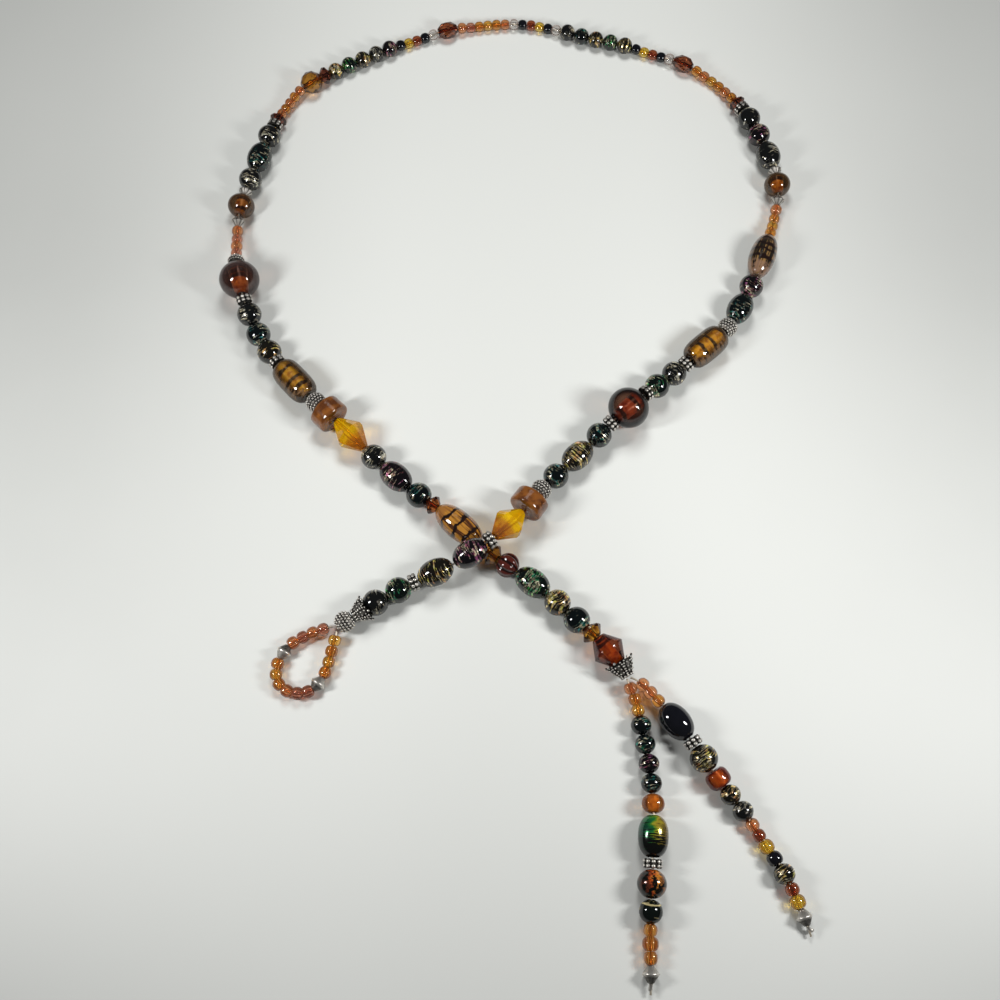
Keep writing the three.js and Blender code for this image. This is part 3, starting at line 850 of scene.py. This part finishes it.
# The foil beads of the drops. Dichroic foil lies in broad flakes under the glass: green to gold on
# the oval, copper and red on the round below it, and gold threads on the round of the right drop.
GREEN_TO_GOLD = [
    (0, (0.005, 0.06, 0.035)), (0.3, (0.02, 0.20, 0.04)), (0.5, (0.16, 0.30, 0.02)),
    (0.72, (0.46, 0.36, 0.03)), (1, (0.16, 0.11, 0.02)),
]
RED_TO_GOLD = [
    (0, (0.05, 0.018, 0.012)), (0.3, (0.16, 0.035, 0.015)), (0.5, (0.62, 0.10, 0.02)),
    (0.7, (0.80, 0.30, 0.04)), (1, (0.16, 0.06, 0.02)),
]


def foil_sheet(name, stops, stretch, gone, lean):
    """A dichroic sheet whose colours change across the bead, torn where the noise, stretched so, is
    over gone. lean is how much more it is torn towards one end."""
    finish = Finish(name)
    cloud = finish.cloud(0.45, 4, (1, 1.6, 1), roughness=0.6) - 0.5
    hue = finish.step(cloud * 6.0 - finish.on_bead("X"), -3.4, 3.2)
    sheet = finish.node("ValToRGB", {0: hue}, stops=stops)
    tears = finish.cloud(0.7, 5, stretch, roughness=0.65)
    torn = finish.step(tears + lean * finish.on_bead("Y"), gone, gone + 0.04)
    colour = finish.mixed(torn, sheet, (0.004, 0.005, 0.004))
    return finish.done(finish.gloss(colour, Metallic=0.5, Roughness=0.16, Coat_Weight=0.5))


green_sheet = foil_sheet("green to gold foil", GREEN_TO_GOLD, (0.25, 3.0, 0.25), 0.485, 0.035)
red_sheet = foil_sheet("red to gold foil", RED_TO_GOLD, (0.8, 0.8, 0.8), 0.47, 0.01)
foil_threads = drizzled_glass("wound foil", more=-0.1, broad=0.3)
loose("foil_oval", (0.32, 2.4, 20, 36), green_sheet, "dichroic_foil_glass")
loose(
    "foil_round", (0.28, 2, 18, 36), [red_sheet, foil_threads], "dichroic_foil_glass", FOIL_COLOURS
)


# The ringed round. One black glass round of the left drop has a ring of pale gold foil laid round
# its first end while it was hot, and a few flecks below the ring.
def ringed_glass():
    finish = Finish("ringed glass")
    sway = (finish.cloud(0.3) - 0.5) * 0.8
    offset = 0 - (finish.on_bead("Y") + sway)
    ring = finish.step(offset, 1.75, 1.88) - finish.step(offset, 2.05, 2.2)
    fleck = finish.step(finish.cloud(0.8, 4, (0.5, 1.6, 0.5)), 0.64, 0.70)
    foil = ring.at_least(fleck * 0.4)
    colour = finish.mixed(foil, (0.002, 0.004, 0.003), (0.62, 0.52, 0.26))
    return finish.done(finish.gloss(colour, Metallic=foil * 0.5, Roughness=0.06 + 0.2 * foil))


beads, radius, half = of_kind("ringed_round")
pattern = pressed(half, radius, 0.28, 2.1, 14, 28)
hang("ringed_round", pattern, beads, ringed_glass(), "dark_foil_glass")

# Tiger ovals. Long amber and brown beads whose glass was drawn out in fine lengthwise threads, with
# three or four dark bands laid round them.
TIGER_OVALS = [
    # threads, gaps between them, places of the dark bands as shares of the half length, how thin the
    # threads are, the colour of the first end, which is also laid on the edges as a painted sheen where
    # they are seen at a slant, and how strong that colour is
    ((0.27, 0.15, 0.05), (0.012, 0.009, 0.006), (-0.30, 0.04, 0.36, 0.64), 0.47,
     (0.25, 0.145, 0.095), 0.8),
    ((0.46, 0.205, 0.03), (0.07, 0.022, 0.008), (-0.42, 0.08, 0.58), 0.40, (0.28, 0.11, 0.03), 0.7),
]


def banded(finish, colour, along, bands, half, edges, dark):
    """A colour crossed by dark bands at these shares of half the length along the bead."""
    for band in bands:
        offset = abs(along - band * half / mm)
        colour = finish.mixed(1 - finish.step(offset, *edges), colour, dark)
    return colour


def tiger_glass(name, light, body, bands, thin, edge_sheen_and_end_colour, edge_sheen_and_end_share, half):
    finish = Finish(name)
    across = finish.vector("MULTIPLY", finish.on_bead(), (1, 0, 1))
    outward = finish.node("VectorMath", {0: across}, operation="NORMALIZE")
    along = finish.on_bead("Y")
    drawn = finish.vector("ADD", outward, finish.node("CombineXYZ", {1: along * 0.015}))
    threads = finish.step(finish.noise(drawn, 5.5, detail=3, roughness=0.6), thin, thin + 0.16)
    streaked = finish.mixed(threads, body, light)
    sway = (finish.cloud(0.3, 3) - 0.5) * 4.0
    cloud = finish.cloud(0.7, 3, shift=19.0)
    end = 1 - finish.step(along + sway * 0.5, -0.62 * half / mm, -0.42 * half / mm)
    # painted sheen: where the oval is seen at a slant the threads give way in patches to a flat, greyer
    # colour, which at the first end is its real colour
    thick = finish.step(finish.slant(), 0.3, 0.75).at_least(end)
    colour = finish.mixed(thick * finish.step(cloud, 0.32, 0.5) * edge_sheen_and_end_share, streaked, edge_sheen_and_end_colour)
    colour = banded(finish, colour, along + sway, bands, half, (0.35, 0.75), (0.012, 0.005, 0.004))
    return finish.done(finish.gloss(
        colour, Roughness=0.07, Coat_Weight=0.6, Transmission_Weight=0.2, IOR=1.5
    ))


_, _, half = of_kind("tiger_oval")
tiger_glasses = [
    tiger_glass(f"tiger oval {count}", *look, half) for count, look in enumerate(TIGER_OVALS, 1)
]
loose("tiger_oval", (0.34, 2.15, 24, 40), tiger_glasses, "tiger_striped_glass")

# Cased beads. Barrels, big and amber rounds, the cognac bicone, the pony bead and the amber ball have
# a bright core round the hole, with dark bands across it, under a thick case of clear brown glass.
CASED = [
    # kind, end, fullness, core's share of the radius, slot, and for each bead of the kind: case colour,
    # colour of the painted shade at the rim, how soon at a slant it is dark, core colour, places of the
    # bands as shares of the half length
    ("tiger_barrel", 0.58, 3.6, 0.40, "tiger_striped_glass", [
        ((0.72, 0.54, 0.28), (0.045, 0.028, 0.014), 0.75, (0.56, 0.34, 0.02), (-0.30, 0.22, 0.85)),
        ((0.70, 0.54, 0.28), (0.045, 0.028, 0.014), 0.75, (0.52, 0.34, 0.02), (-0.55, 0.05, 0.45)),
    ]),
    ("big_round", 0.26, 2, 0.29, "dark_amber_glass", [
        ((0.40, 0.19, 0.12), (0.005, 0.003, 0.003), 0.46, (0.38, 0.11, 0.04), (-0.48, 0.24, 0.62)),
        ((0.44, 0.24, 0.18), (0.04, 0.026, 0.024), 0.6, (0.40, 0.16, 0.03), (-0.9, -0.45, -0.25, -0.05)),
    ]),
    ("amber_round", 0.3, 2, 0.32, "amber_glass", [
        ((0.40, 0.23, 0.10), (0.05, 0.026, 0.010), 0.6, (0.50, 0.24, 0.03), (0.3, 0.6)),
        ((0.42, 0.24, 0.11), (0.05, 0.024, 0.010), 0.6, (0.34, 0.19, 0.05), (-0.4, 0.3)),
    ]),
    ("cognac_crystal", 0.42, 1.0, 0.26, "cognac_glass", [
        ((0.48, 0.13, 0.05), (0.045, 0.009, 0.006), 0.8, (0.50, 0.25, 0.04), (-0.7, -0.35)),
    ]),
    ("pony_bead", 0.7, 3.0, 0.42, "amber_glass", [
        ((0.66, 0.22, 0.08), (0.07, 0.008, 0.005), 0.5, (0.44, 0.22, 0.03), ()),
    ]),
    ("amber_ball", 0.34, 2.2, 0.36, "amber_glass", [
        ((0.70, 0.34, 0.08), (0.16, 0.045, 0.008), 0.7, (0.52, 0.26, 0.03), ()),
    ]),
]
FILM_BEGINS = -1.9
CORE_INSET, CORE_WALL = 0.5 * mm, 0.12 * mm


def core_glass(name, colour, bands, half):
    """Bright glass round the hole, crossed by dark bands."""
    finish = Finish(name)
    sway = (finish.cloud(0.5, 3) - 0.5) * 1.6
    cloud = finish.step(finish.cloud(0.7, 3, shift=23.0), 0.4, 0.7)
    deep = tuple(part * share for part, share in zip(colour, (0.5, 0.3, 0.3)))
    shade = finish.mixed(cloud, colour, deep)
    along = finish.on_bead("Y") + sway
    shade = banded(finish, shade, along, bands, half, (0.45, 0.8), (0.02, 0.008, 0.006))
    return finish.done(finish.gloss(shade, Roughness=0.3))


for kind, end, fullness, share, slot, looks in CASED:
    beads, radius, half = of_kind(kind)
    blotches = FILM_BEGINS if kind == "tiger_barrel" else 0
    case = pressed(half, radius, end, fullness, 22, 44)
    outline = profile(half - CORE_INSET, share * radius, 0.8, 6, 12, HOLE + CORE_WALL)
    core = marked(turned(outline, 28))
    for count, (bead, look) in enumerate(zip(beads, looks), 1):
        name = f"{kind}_{count}"
        # rim and reach set the painted shade where the case is seen at a slant
        case_colour, rim, reach, core_colour, bands = look
        case_glass = clear_glass(name + " case", 0.02, rim, reach, blotches=blotches)
        bright = core_glass(name + " core", core_colour, bands, half)
        place = on_wire([bead], {bead.colour: case_colour})
        show(name + "_case", copies(case, place, case_glass), slot, name)
        show(name + "_core", copies(core, place, bright), slot)

# The brown discs. Thick wheels of milky brown glass with flat ends and square shoulders, polished
# smooth. One lies beside each yellow crystal.
def milky_glass():
    finish = Finish("milky brown glass")
    cloud = finish.step(finish.cloud(0.35, 3), 0.35, 0.65)
    colour = finish.mixed(cloud, (0.11, 0.034, 0.010), (0.26, 0.088, 0.018))
    return finish.done(finish.gloss(
        colour, Roughness=0.1, Coat_Weight=0.25, Transmission_Weight=0.3, IOR=1.5
    ))


loose("brown_disc", (0.86, 9, 24, 48), milky_glass(), "brown_glass")

# Cut crystals. Long yellow bicones with eight flat facets round each cone, small fire-polished ovals
# and a round whose facets lie in staggered rows, and flat-cut saucers. The glass is clear and the
# edges are crisp.
CUT_COLOURS = {
    "yellow": (0.88, 0.57, 0.001),
    "brown": (0.42, 0.12, 0.05),
    "amber": (0.66, 0.32, 0.04),
}
SAUCER_COLOURS = {
    "brown": (0.24, 0.06, 0.035),
    "red": (0.66, 0.19, 0.04),
    "amber": (0.80, 0.40, 0.04),
}
# The colour of the painted shade at the rims of the yellow crystals.
YELLOW_RIM_SHADE = (0.42, 0.22, 0.002)
SAUCER_FACETS = 10
SAUCER_ROWS = [(-1, 0.46, 0.2), (-0.12, 1, 0.2), (0.12, 1, 0.2), (1, 0.46, 0.2)]
CRYSTAL_ROWS = [(-1, 0.3, 0), (-0.1, 1, 0), (0.1, 1, 0), (1, 0.3, 0)]
STAGGERED_ROWS = [(-1, 0.45, 0), (-0.5, 0.88, 0.5), (0, 1, 0), (0.5, 0.88, 0.5), (1, 0.45, 0)]


def cut(rows, sides, half, radius):
    """A faceted bead. Each row is (along, out, turned by this share of a side)."""
    inner = HOLE / radius
    rows = [(-1, inner, rows[0][2]), *rows, (1, inner, rows[-1][2])]
    outline = [(at * half, out * radius, twist) for at, out, twist in rows]
    return marked(turned(outline, sides, smooth=False))


# The second colour is painted shade at the rims, where the glass is seen at a slant.
cut_glass = clear_glass("cut glass", 0.0, (0.045, 0.012, 0.005), 0.9)
brown_tip, red_tip = (-1, (0.42, 0.15, 0.03)), (1, (0.60, 0.24, 0.02))
yellow_glasses = [
    clear_glass("yellow glass with a brown tip", 0.0, YELLOW_RIM_SHADE, 1.3, 0.3, brown_tip),
    clear_glass("yellow glass", 0.0, YELLOW_RIM_SHADE, 1.3, 0.16, red_tip),
]
for kind, rows, glasses, slot in (
    ("yellow_crystal", CRYSTAL_ROWS, yellow_glasses, "yellow_crystal_glass"),
    ("cut_oval", STAGGERED_ROWS, [cut_glass] * 2, "amber_glass"),
    ("cut_round", STAGGERED_ROWS, [cut_glass], "amber_glass"),
):
    beads, radius, half = of_kind(kind)
    pattern = cut(rows, beads[0].sides, half, radius)
    for count, (bead, glass) in enumerate(zip(beads, glasses), 1):
        name = f"{kind}_{count}"
        hang(name + "_glass", pattern, [bead], glass, slot, name, tints=CUT_COLOURS)
for kind in ("brown_saucer", "amber_saucer"):
    beads, radius, half = of_kind(kind)
    pattern = cut(SAUCER_ROWS, SAUCER_FACETS, half - END_GAP, radius)
    hang(kind + "s", pattern, beads, cut_glass, "strung_small_beads", tints=SAUCER_COLOURS)

# The melon bead. One pressed round of red-brown glass beside the crossing, with eight grooves from
# hole to hole, painted dark along their bottoms as painted shade.
MELON_RIBS, GROOVE_DEPTH = 8, 0.15
THROAT = HOLE * 1.2


def melon(angle, out):
    """The radius of the melon bead at an angle, less where a groove runs."""
    groove = abs(math.cos(MELON_RIBS * angle / 2)) ** 5
    return out * (1 - GROOVE_DEPTH * groove) if out > THROAT else out


def melon_glass():
    finish = Finish("melon glass")
    across, up = finish.on_bead("X"), finish.on_bead("Z")
    ribs = across.maths("ARCTAN2", across, up) * MELON_RIBS
    wave = ribs.maths("COSINE", ribs, 0)
    # painted shade: the colour darkens to near black along the bottoms of the grooves
    groove = finish.step(wave + (finish.cloud(0.8, 3) - 0.5), 0.0, 0.9)
    colour = finish.mixed(groove, (0.060, 0.011, 0.008), (0.008, 0.002, 0.002))
    return finish.done(finish.gloss(colour, Roughness=0.08, Coat_Weight=0.2))


loose("melon_round", (0.34, 2, 18, 80), melon_glass(), "dark_amber_glass", ripple=melon)

# Antiqued silver. Cast beads, spacer rings and caps are covered with granules, bright where they
# are rubbed and nearly black in the hollows.
GRANULE_SIDES, GRANULE_RINGS = 8, 5
GRANULE, DOME_GRANULE, DAISY_LOBE = 0.42 * mm, 0.34 * mm, 0.70 * mm
GRANULE_PITCH, DAISY_LOBES = 2.3, 9
UNDER_GRANULES, UNDER_LOBES = 0.1 * mm, 0.15 * mm
BALL_TILTS = [math.radians(degrees) for degrees in (-62, -42, -21, 0, 21, 42, 62)]
DOME_ROWS = ((-1, 0.52), (-0.4, 0.8), (0.3, 0.97), (1, 0.9))


def antique_silver():
    finish = Finish("antiqued silver")
    cloud = finish.noise(finish.node("TexCoord", output="Object"), 1500, detail=3)
    worn = finish.step(finish.attribute("rubbed", "Fac") + 0.35 * (cloud - 0.5), 0.25, 0.85)
    colour = finish.mixed(worn, (0.026, 0.024, 0.021), (0.60, 0.57, 0.52))
    return finish.done(finish.gloss(colour, Metallic=0.85, Roughness=0.55 - 0.2 * worn))


def made_by(builder, name):
    """The mesh that a builder holds."""
    mesh = bpy.data.meshes.new(name)
    builder.to_mesh(mesh)
    builder.free()
    return mesh


def granule():
    """A small ball."""
    builder = bmesh.new()
    bmesh.ops.create_uvsphere(builder, u_segments=GRANULE_SIDES, v_segments=GRANULE_RINGS, radius=1)
    mesh = made_by(builder, "granule")
    mesh.shade_smooth()
    return mesh


def granulated(core, places, depth=1.25):
    """A cast piece: a core with granules on it, each place (along, out, angle, size). It is dark
    from depth times a granule's size below their tops."""
    spots = [{"at": round_hole(*place[:3]), "size": (place[3],) * 3} for place in places]
    builder = bmesh.new()
    builder.from_mesh(copies(granule(), spots))
    builder.from_mesh(core)
    whole = made_by(builder, "granulated")
    whole.shade_smooth()
    reach = np.array([math.hypot(v.co.x, v.co.z) for v in whole.vertices], np.float32)
    along = np.array([v.co.y for v in whole.vertices], np.float32)
    keep(whole, "rubbed", "FLOAT", rubbed(reach, along, places, depth))
    return marked(whole)


def rubbed(reach, along, places, depth):
    """How much a point is rubbed: 1 where it stands as far out as the granules there do."""
    tips = {(round(at / mm, 3), round((out + size) / mm, 3)) for at, out, _, size in places}
    stations = np.array(sorted(tips))
    tops = np.interp(along / mm, stations[:, 0], stations[:, 1]) * mm
    dark_at = depth * max(p[3] for p in places)
    return np.clip(1 - (tops - reach) / dark_at, 0, 1)


def granule_rows(rows, size):
    """Rings of granules: each row is (along, out), filled with touching granules."""
    places = []
    for number, (at, out) in enumerate(rows):
        count = max(5, round(2 * math.pi * out / (GRANULE_PITCH * size)))
        for i in range(count):
            angle = 2 * math.pi * (i + number % 2 / 2) / count
            places.append((at, out, angle, size))
    return places


silver = antique_silver()
beads, radius, half = of_kind("granulated_bead")
rows = [(half * math.sin(t) * 0.98, (radius - GRANULE) * math.cos(t) ** 0.8) for t in BALL_TILTS]
core = turned(profile(half - UNDER_GRANULES, radius * 0.88, 0.4, 2.2, 12), 24)
pattern = granulated(core, granule_rows(rows, GRANULE))
for count, bead in enumerate(beads, 1):
    name = f"granulated_bead_{count}"
    hang(name + "_silver", pattern, [bead], silver, "antique_silver", name)

beads, radius, half = of_kind("daisy_spacer")
lobes = [
    (side * (half - DAISY_LOBE), radius - DAISY_LOBE, 2 * math.pi * i / DAISY_LOBES, DAISY_LOBE)
    for side in (-1, 1) for i in range(DAISY_LOBES)
]
core = turned(profile(half - UNDER_LOBES, radius - 1.1 * DAISY_LOBE, 0.8, 4, 8), 24)
hang("daisy_spacers", granulated(core, lobes, 0.9), beads, silver, "strung_small_beads")

beads, radius, half = of_kind("dome_cap")
rows = [(at * (half - DOME_GRANULE), (radius - DOME_GRANULE) * out) for at, out in DOME_ROWS]
core = turned(profile(half - UNDER_GRANULES, radius * 0.84, 0.55, 1.8, 8), 20)
pattern = granulated(core, granule_rows(rows, DOME_GRANULE))
hang("dome_caps", pattern, beads, silver, "strung_small_beads")

# The cones. Small bicones: the silver ones beside the amber rounds are cast with flutes from end to
# end, and the pewter ones of the loop and the drops are turned and plain, brightest round the middle
# and darker towards their tips.
CONE_TIP, FLUTES, FLUTE_DEPTH = 0.36, 9, 0.10
CONE_ROWS, CONE_SIDES, CONE_RIM = 8, 45, 0.1 * mm
SILVER_RUB, FLUTE_DARK = 0.68, 0.6


def in_flute(angle):
    """How deep in a flute an angle is, from 0 on a crest to 1."""
    return max(0, math.cos(FLUTES * angle)) ** 2


def flute(angle, out):
    """The radius of a fluted cone at an angle."""
    return out * (1 - FLUTE_DEPTH * in_flute(angle)) if out > THROAT else out


def cone(radius, half, fluted):
    """A bicone, with the value that the silver finish reads at each place: the pewter one is bright
    round its middle and darker towards its tips, most on its second half; the fluted one is darker in
    its flutes.
    """
    outline, lightness = [], []
    for i in range(-CONE_ROWS, CONE_ROWS + 1):
        share = abs(i) / CONE_ROWS
        outline.append((i / CONE_ROWS * half, radius * (1 - (1 - CONE_TIP) * share)))
        plain = max(0.60, 1 - 1.3 * share) if i < 0 else max(0.42, 1 - 2.0 * share)
        lightness.append(SILVER_RUB if fluted else plain)
    throat = [(half - CONE_RIM, HOLE), (CONE_RIM - half, HOLE)]
    mesh = turned([*outline, *throat], CONE_SIDES, ripple=flute if fluted else None)
    angles = [2 * math.pi * (side + 0.5) / CONE_SIDES for side in range(CONE_SIDES)]
    around = [1 - FLUTE_DARK * in_flute(a) if fluted else 1 for a in angles]
    return marked(keep(mesh, "rubbed", "FLOAT", np.outer([*lightness, 0, 0], around)))


for kind in ("silver_cone", "pewter_cone"):
    beads, radius, half = of_kind(kind)
    pattern = cone(radius, half - END_GAP, kind == "silver_cone")
    hang(kind + "s", pattern, beads, silver, "strung_small_beads")

# The caps. Each is a small cast cup of six petals set with granules: the leaf cap opens away from
# the first granulated bead, and the petal cap opens towards the cognac bicone.
PETALS, PETAL_ROWS, PETAL_THICK = 6, 6, 0.32 * mm
PETAL_ROOT, PETAL_FLARE, PETAL_REACH, PETAL_CURL = 0.52, 0.58, 1.1 * mm, 0.25 * mm
PETAL_COLUMNS = (-1, -0.5, 0, 0.5, 1)
EDGE_GRANULES, VEIN_GRANULES = (0.16, 0.32, 0.48, 0.64, 0.79, 0.92), (0.3, 0.55, 0.78)


def petal_cap(radius, half, mouth):
    """A cup of petals that opens towards mouth, which is 1 or -1 along the wire."""

    def on_petal(petal, share, aside, lift=0):
        """A place on a petal: share from root to tip, aside from edge to edge, lift outwards."""
        width = math.pi / PETALS * 0.98 * math.cos(1.2 * max(0, share - 0.5) / 0.5) ** 0.45
        out = radius * (PETAL_ROOT + PETAL_FLARE * share**0.9) - GRANULE + lift
        out -= PETAL_CURL * aside**2
        along = mouth * ((half - GRANULE) * (2 * share - 1) + PETAL_REACH * share**2)
        return along, out, 2 * math.pi * (petal + 0.5) / PETALS + aside * width

    builder, wide = bmesh.new(), len(PETAL_COLUMNS)
    places = granule_rows([(-mouth * (half - GRANULE), 0.42 * radius)], GRANULE)
    for petal in range(PETALS):
        grid = [
            builder.verts.new(
                round_hole(*on_petal(petal, row / PETAL_ROWS * 0.96, column, -PETAL_THICK / 2))
            )
            for row in range(PETAL_ROWS + 1) for column in PETAL_COLUMNS
        ]
        for row in range(PETAL_ROWS):
            for a in range(row * wide, row * wide + wide - 1):
                builder.faces.new((grid[a], grid[a + 1], grid[a + wide + 1], grid[a + wide]))
        places.append((*on_petal(petal, 1, 0), GRANULE))
        for shares, aside, size in ((EDGE_GRANULES, 0.95, 0.66), (VEIN_GRANULES, 0.35, 0.6)):
            for share in shares:
                places += [
                    (*on_petal(petal, share, side), size * GRANULE) for side in (-aside, aside)
                ]
    bmesh.ops.solidify(builder, geom=builder.faces[:], thickness=PETAL_THICK)
    bmesh.ops.recalc_face_normals(builder, faces=builder.faces[:])
    return granulated(made_by(builder, "petals"), places, 1.0)


for kind, mouth in (("leaf_cap", 1), ("petal_cap", -1)):
    beads, radius, half = of_kind(kind)
    pattern = petal_cap(radius, half, mouth)
    hang(kind + "_1_silver", pattern, beads, silver, "antique_silver", kind + "_1")

# The pin ends. The head pin of each drop is cut off short below its last cone. The left one is
# straight, and the right one is bent over into a small open hook.
PIN_RADIUS, PIN_RUB = 0.55 * mm, 0.85
PIN_SINKS, PIN_LOWEST = 0.1 * mm, 0.9 * mm
HOOKS = {
    "left": ((0.6, 0.0), (1.2, 0.05), (1.8, 0.15)),
    "right": ((0.6, 0.0), (1.1, -0.15), (1.5, -0.5), (1.5, -0.9), (1.2, -1.1)),
}


def pin_line(bead, hook):
    """The points of a pin from the bead's start, each of the hook as (along, aside) in mm."""
    side = bead.along.cross(Vector((0, 0, 1))).normalized()
    start = bead.middle - bead.along * bead.long / 2
    points = [start] + [start + (bead.along * on + side * off) * mm for on, off in hook]
    return [
        Vector((p.x, p.y, max(p.z - PIN_SINKS * i, PIN_LOWEST))) for i, p in enumerate(points)
    ]


pins, _, _ = of_kind("pin_end")
for name, bead in zip(("left", "right"), pins):
    line = polyline(pin_line(bead, HOOKS[name]))
    mesh = grown(line, along_joints, Radius=PIN_RADIUS, Metal=silver)
    keep(mesh, "rubbed", "FLOAT", [PIN_RUB] * len(mesh.vertices))
    show(name + "_pin_end", mesh, "strung_small_beads")

# The table, the light and the camera. A pale table, two small lamps left and right of the
# camera, which give each bead its two sparks, and soft light from above. The table is painted darker
# towards its sides, painted shade for the light falling off away from the middle.
TABLE_HALF = 1.5
# The middle and spread of the lit part of the table, outside which painted shade darkens it.
LIT_MIDDLE, LIT_WIDTH, LIT_LENGTH = 0.006, 0.112, 0.15
PALE = (0.600, 0.610, 0.583)


def table_material():
    finish = Finish("pale table")
    place = finish.node("TexCoord", output="Object")
    across, along = (finish.node("SeparateXYZ", {0: place}, axis) for axis in "XY")
    beside, beyond = abs(across - LIT_MIDDLE) / LIT_WIDTH, abs(along) / LIT_LENGTH
    # painted shade: the table darkens by up to a third away from the lit middle, most across it and less
    # towards its far and near edges
    painted_falloff = finish.step(beside, 0.3, 1.5) * (0.34 - 0.12 * finish.step(beyond, 0.3, 1.0))
    mottle = finish.noise(place, 40, detail=3) * 0.05
    colour = finish.mixed(mottle, finish.mixed(painted_falloff, PALE, (0, 0, 0)), (0.7, 0.7, 0.68))
    return finish.done(finish.gloss(colour, Roughness=0.6))


mesh = bpy.data.meshes.new("table")
corners = [(x * TABLE_HALF, y * TABLE_HALF, 0) for x, y in ((-1, -1), (1, -1), (1, 1), (-1, 1))]
mesh.from_pydata(corners, [], [(0, 1, 2, 3)])
mesh.materials.append(table_material())
put("table", mesh)

# name, place, what it points at, width, height and power
LAMPS = (
    ("left lamp", (-0.222, -0.078, 0.187), (0, 0.05, 0), 0.05, 0.09, 0.59),
    ("right lamp", (0.222, -0.078, 0.187), (0, 0.05, 0), 0.05, 0.09, 0.65),
    ("ceiling", (0, 0.31, 0.44), (0, 0.10, 0), 0.2, 0.2, 1.8),
)
for name, place, towards, width, height, power in LAMPS:
    light = bpy.data.lights.new(name, "AREA")
    light.shape, light.size, light.size_y, light.energy = "ELLIPSE", width, height, power
    lamp = put(name, light)
    lamp.location = place
    lamp.rotation_euler = (Vector(towards) - Vector(place)).to_track_quat("-Z", "Y").to_euler()
    lamp.visible_glossy = name != "ceiling"

SKY, SKY_STRENGTH = (0.95, 0.98, 1.0, 1), 0.06
world = bpy.data.worlds.new("room")
world.use_nodes = True
world.node_tree.nodes["Background"].inputs["Color"].default_value = SKY
world.node_tree.nodes["Background"].inputs["Strength"].default_value = SKY_STRENGTH
bpy.context.scene.world = world

CAMERA_HEIGHT, CAMERA_PITCH = 0.317, math.radians(69)
FOCAL_PIXELS, PICTURE_PIXELS, SENSOR = 1083, 1000, 36
lens = bpy.data.cameras.new("camera")
lens.sensor_width, lens.lens = SENSOR, SENSOR * FOCAL_PIXELS / PICTURE_PIXELS
lens.clip_start = 0.01
camera = put("camera", lens)
camera.location = (shift.x, shift.y, CAMERA_HEIGHT)
camera.rotation_euler = (math.pi / 2 - CAMERA_PITCH, 0, 0)
bpy.context.scene.camera = camera
bpy.context.scene.view_settings.view_transform = "Standard"
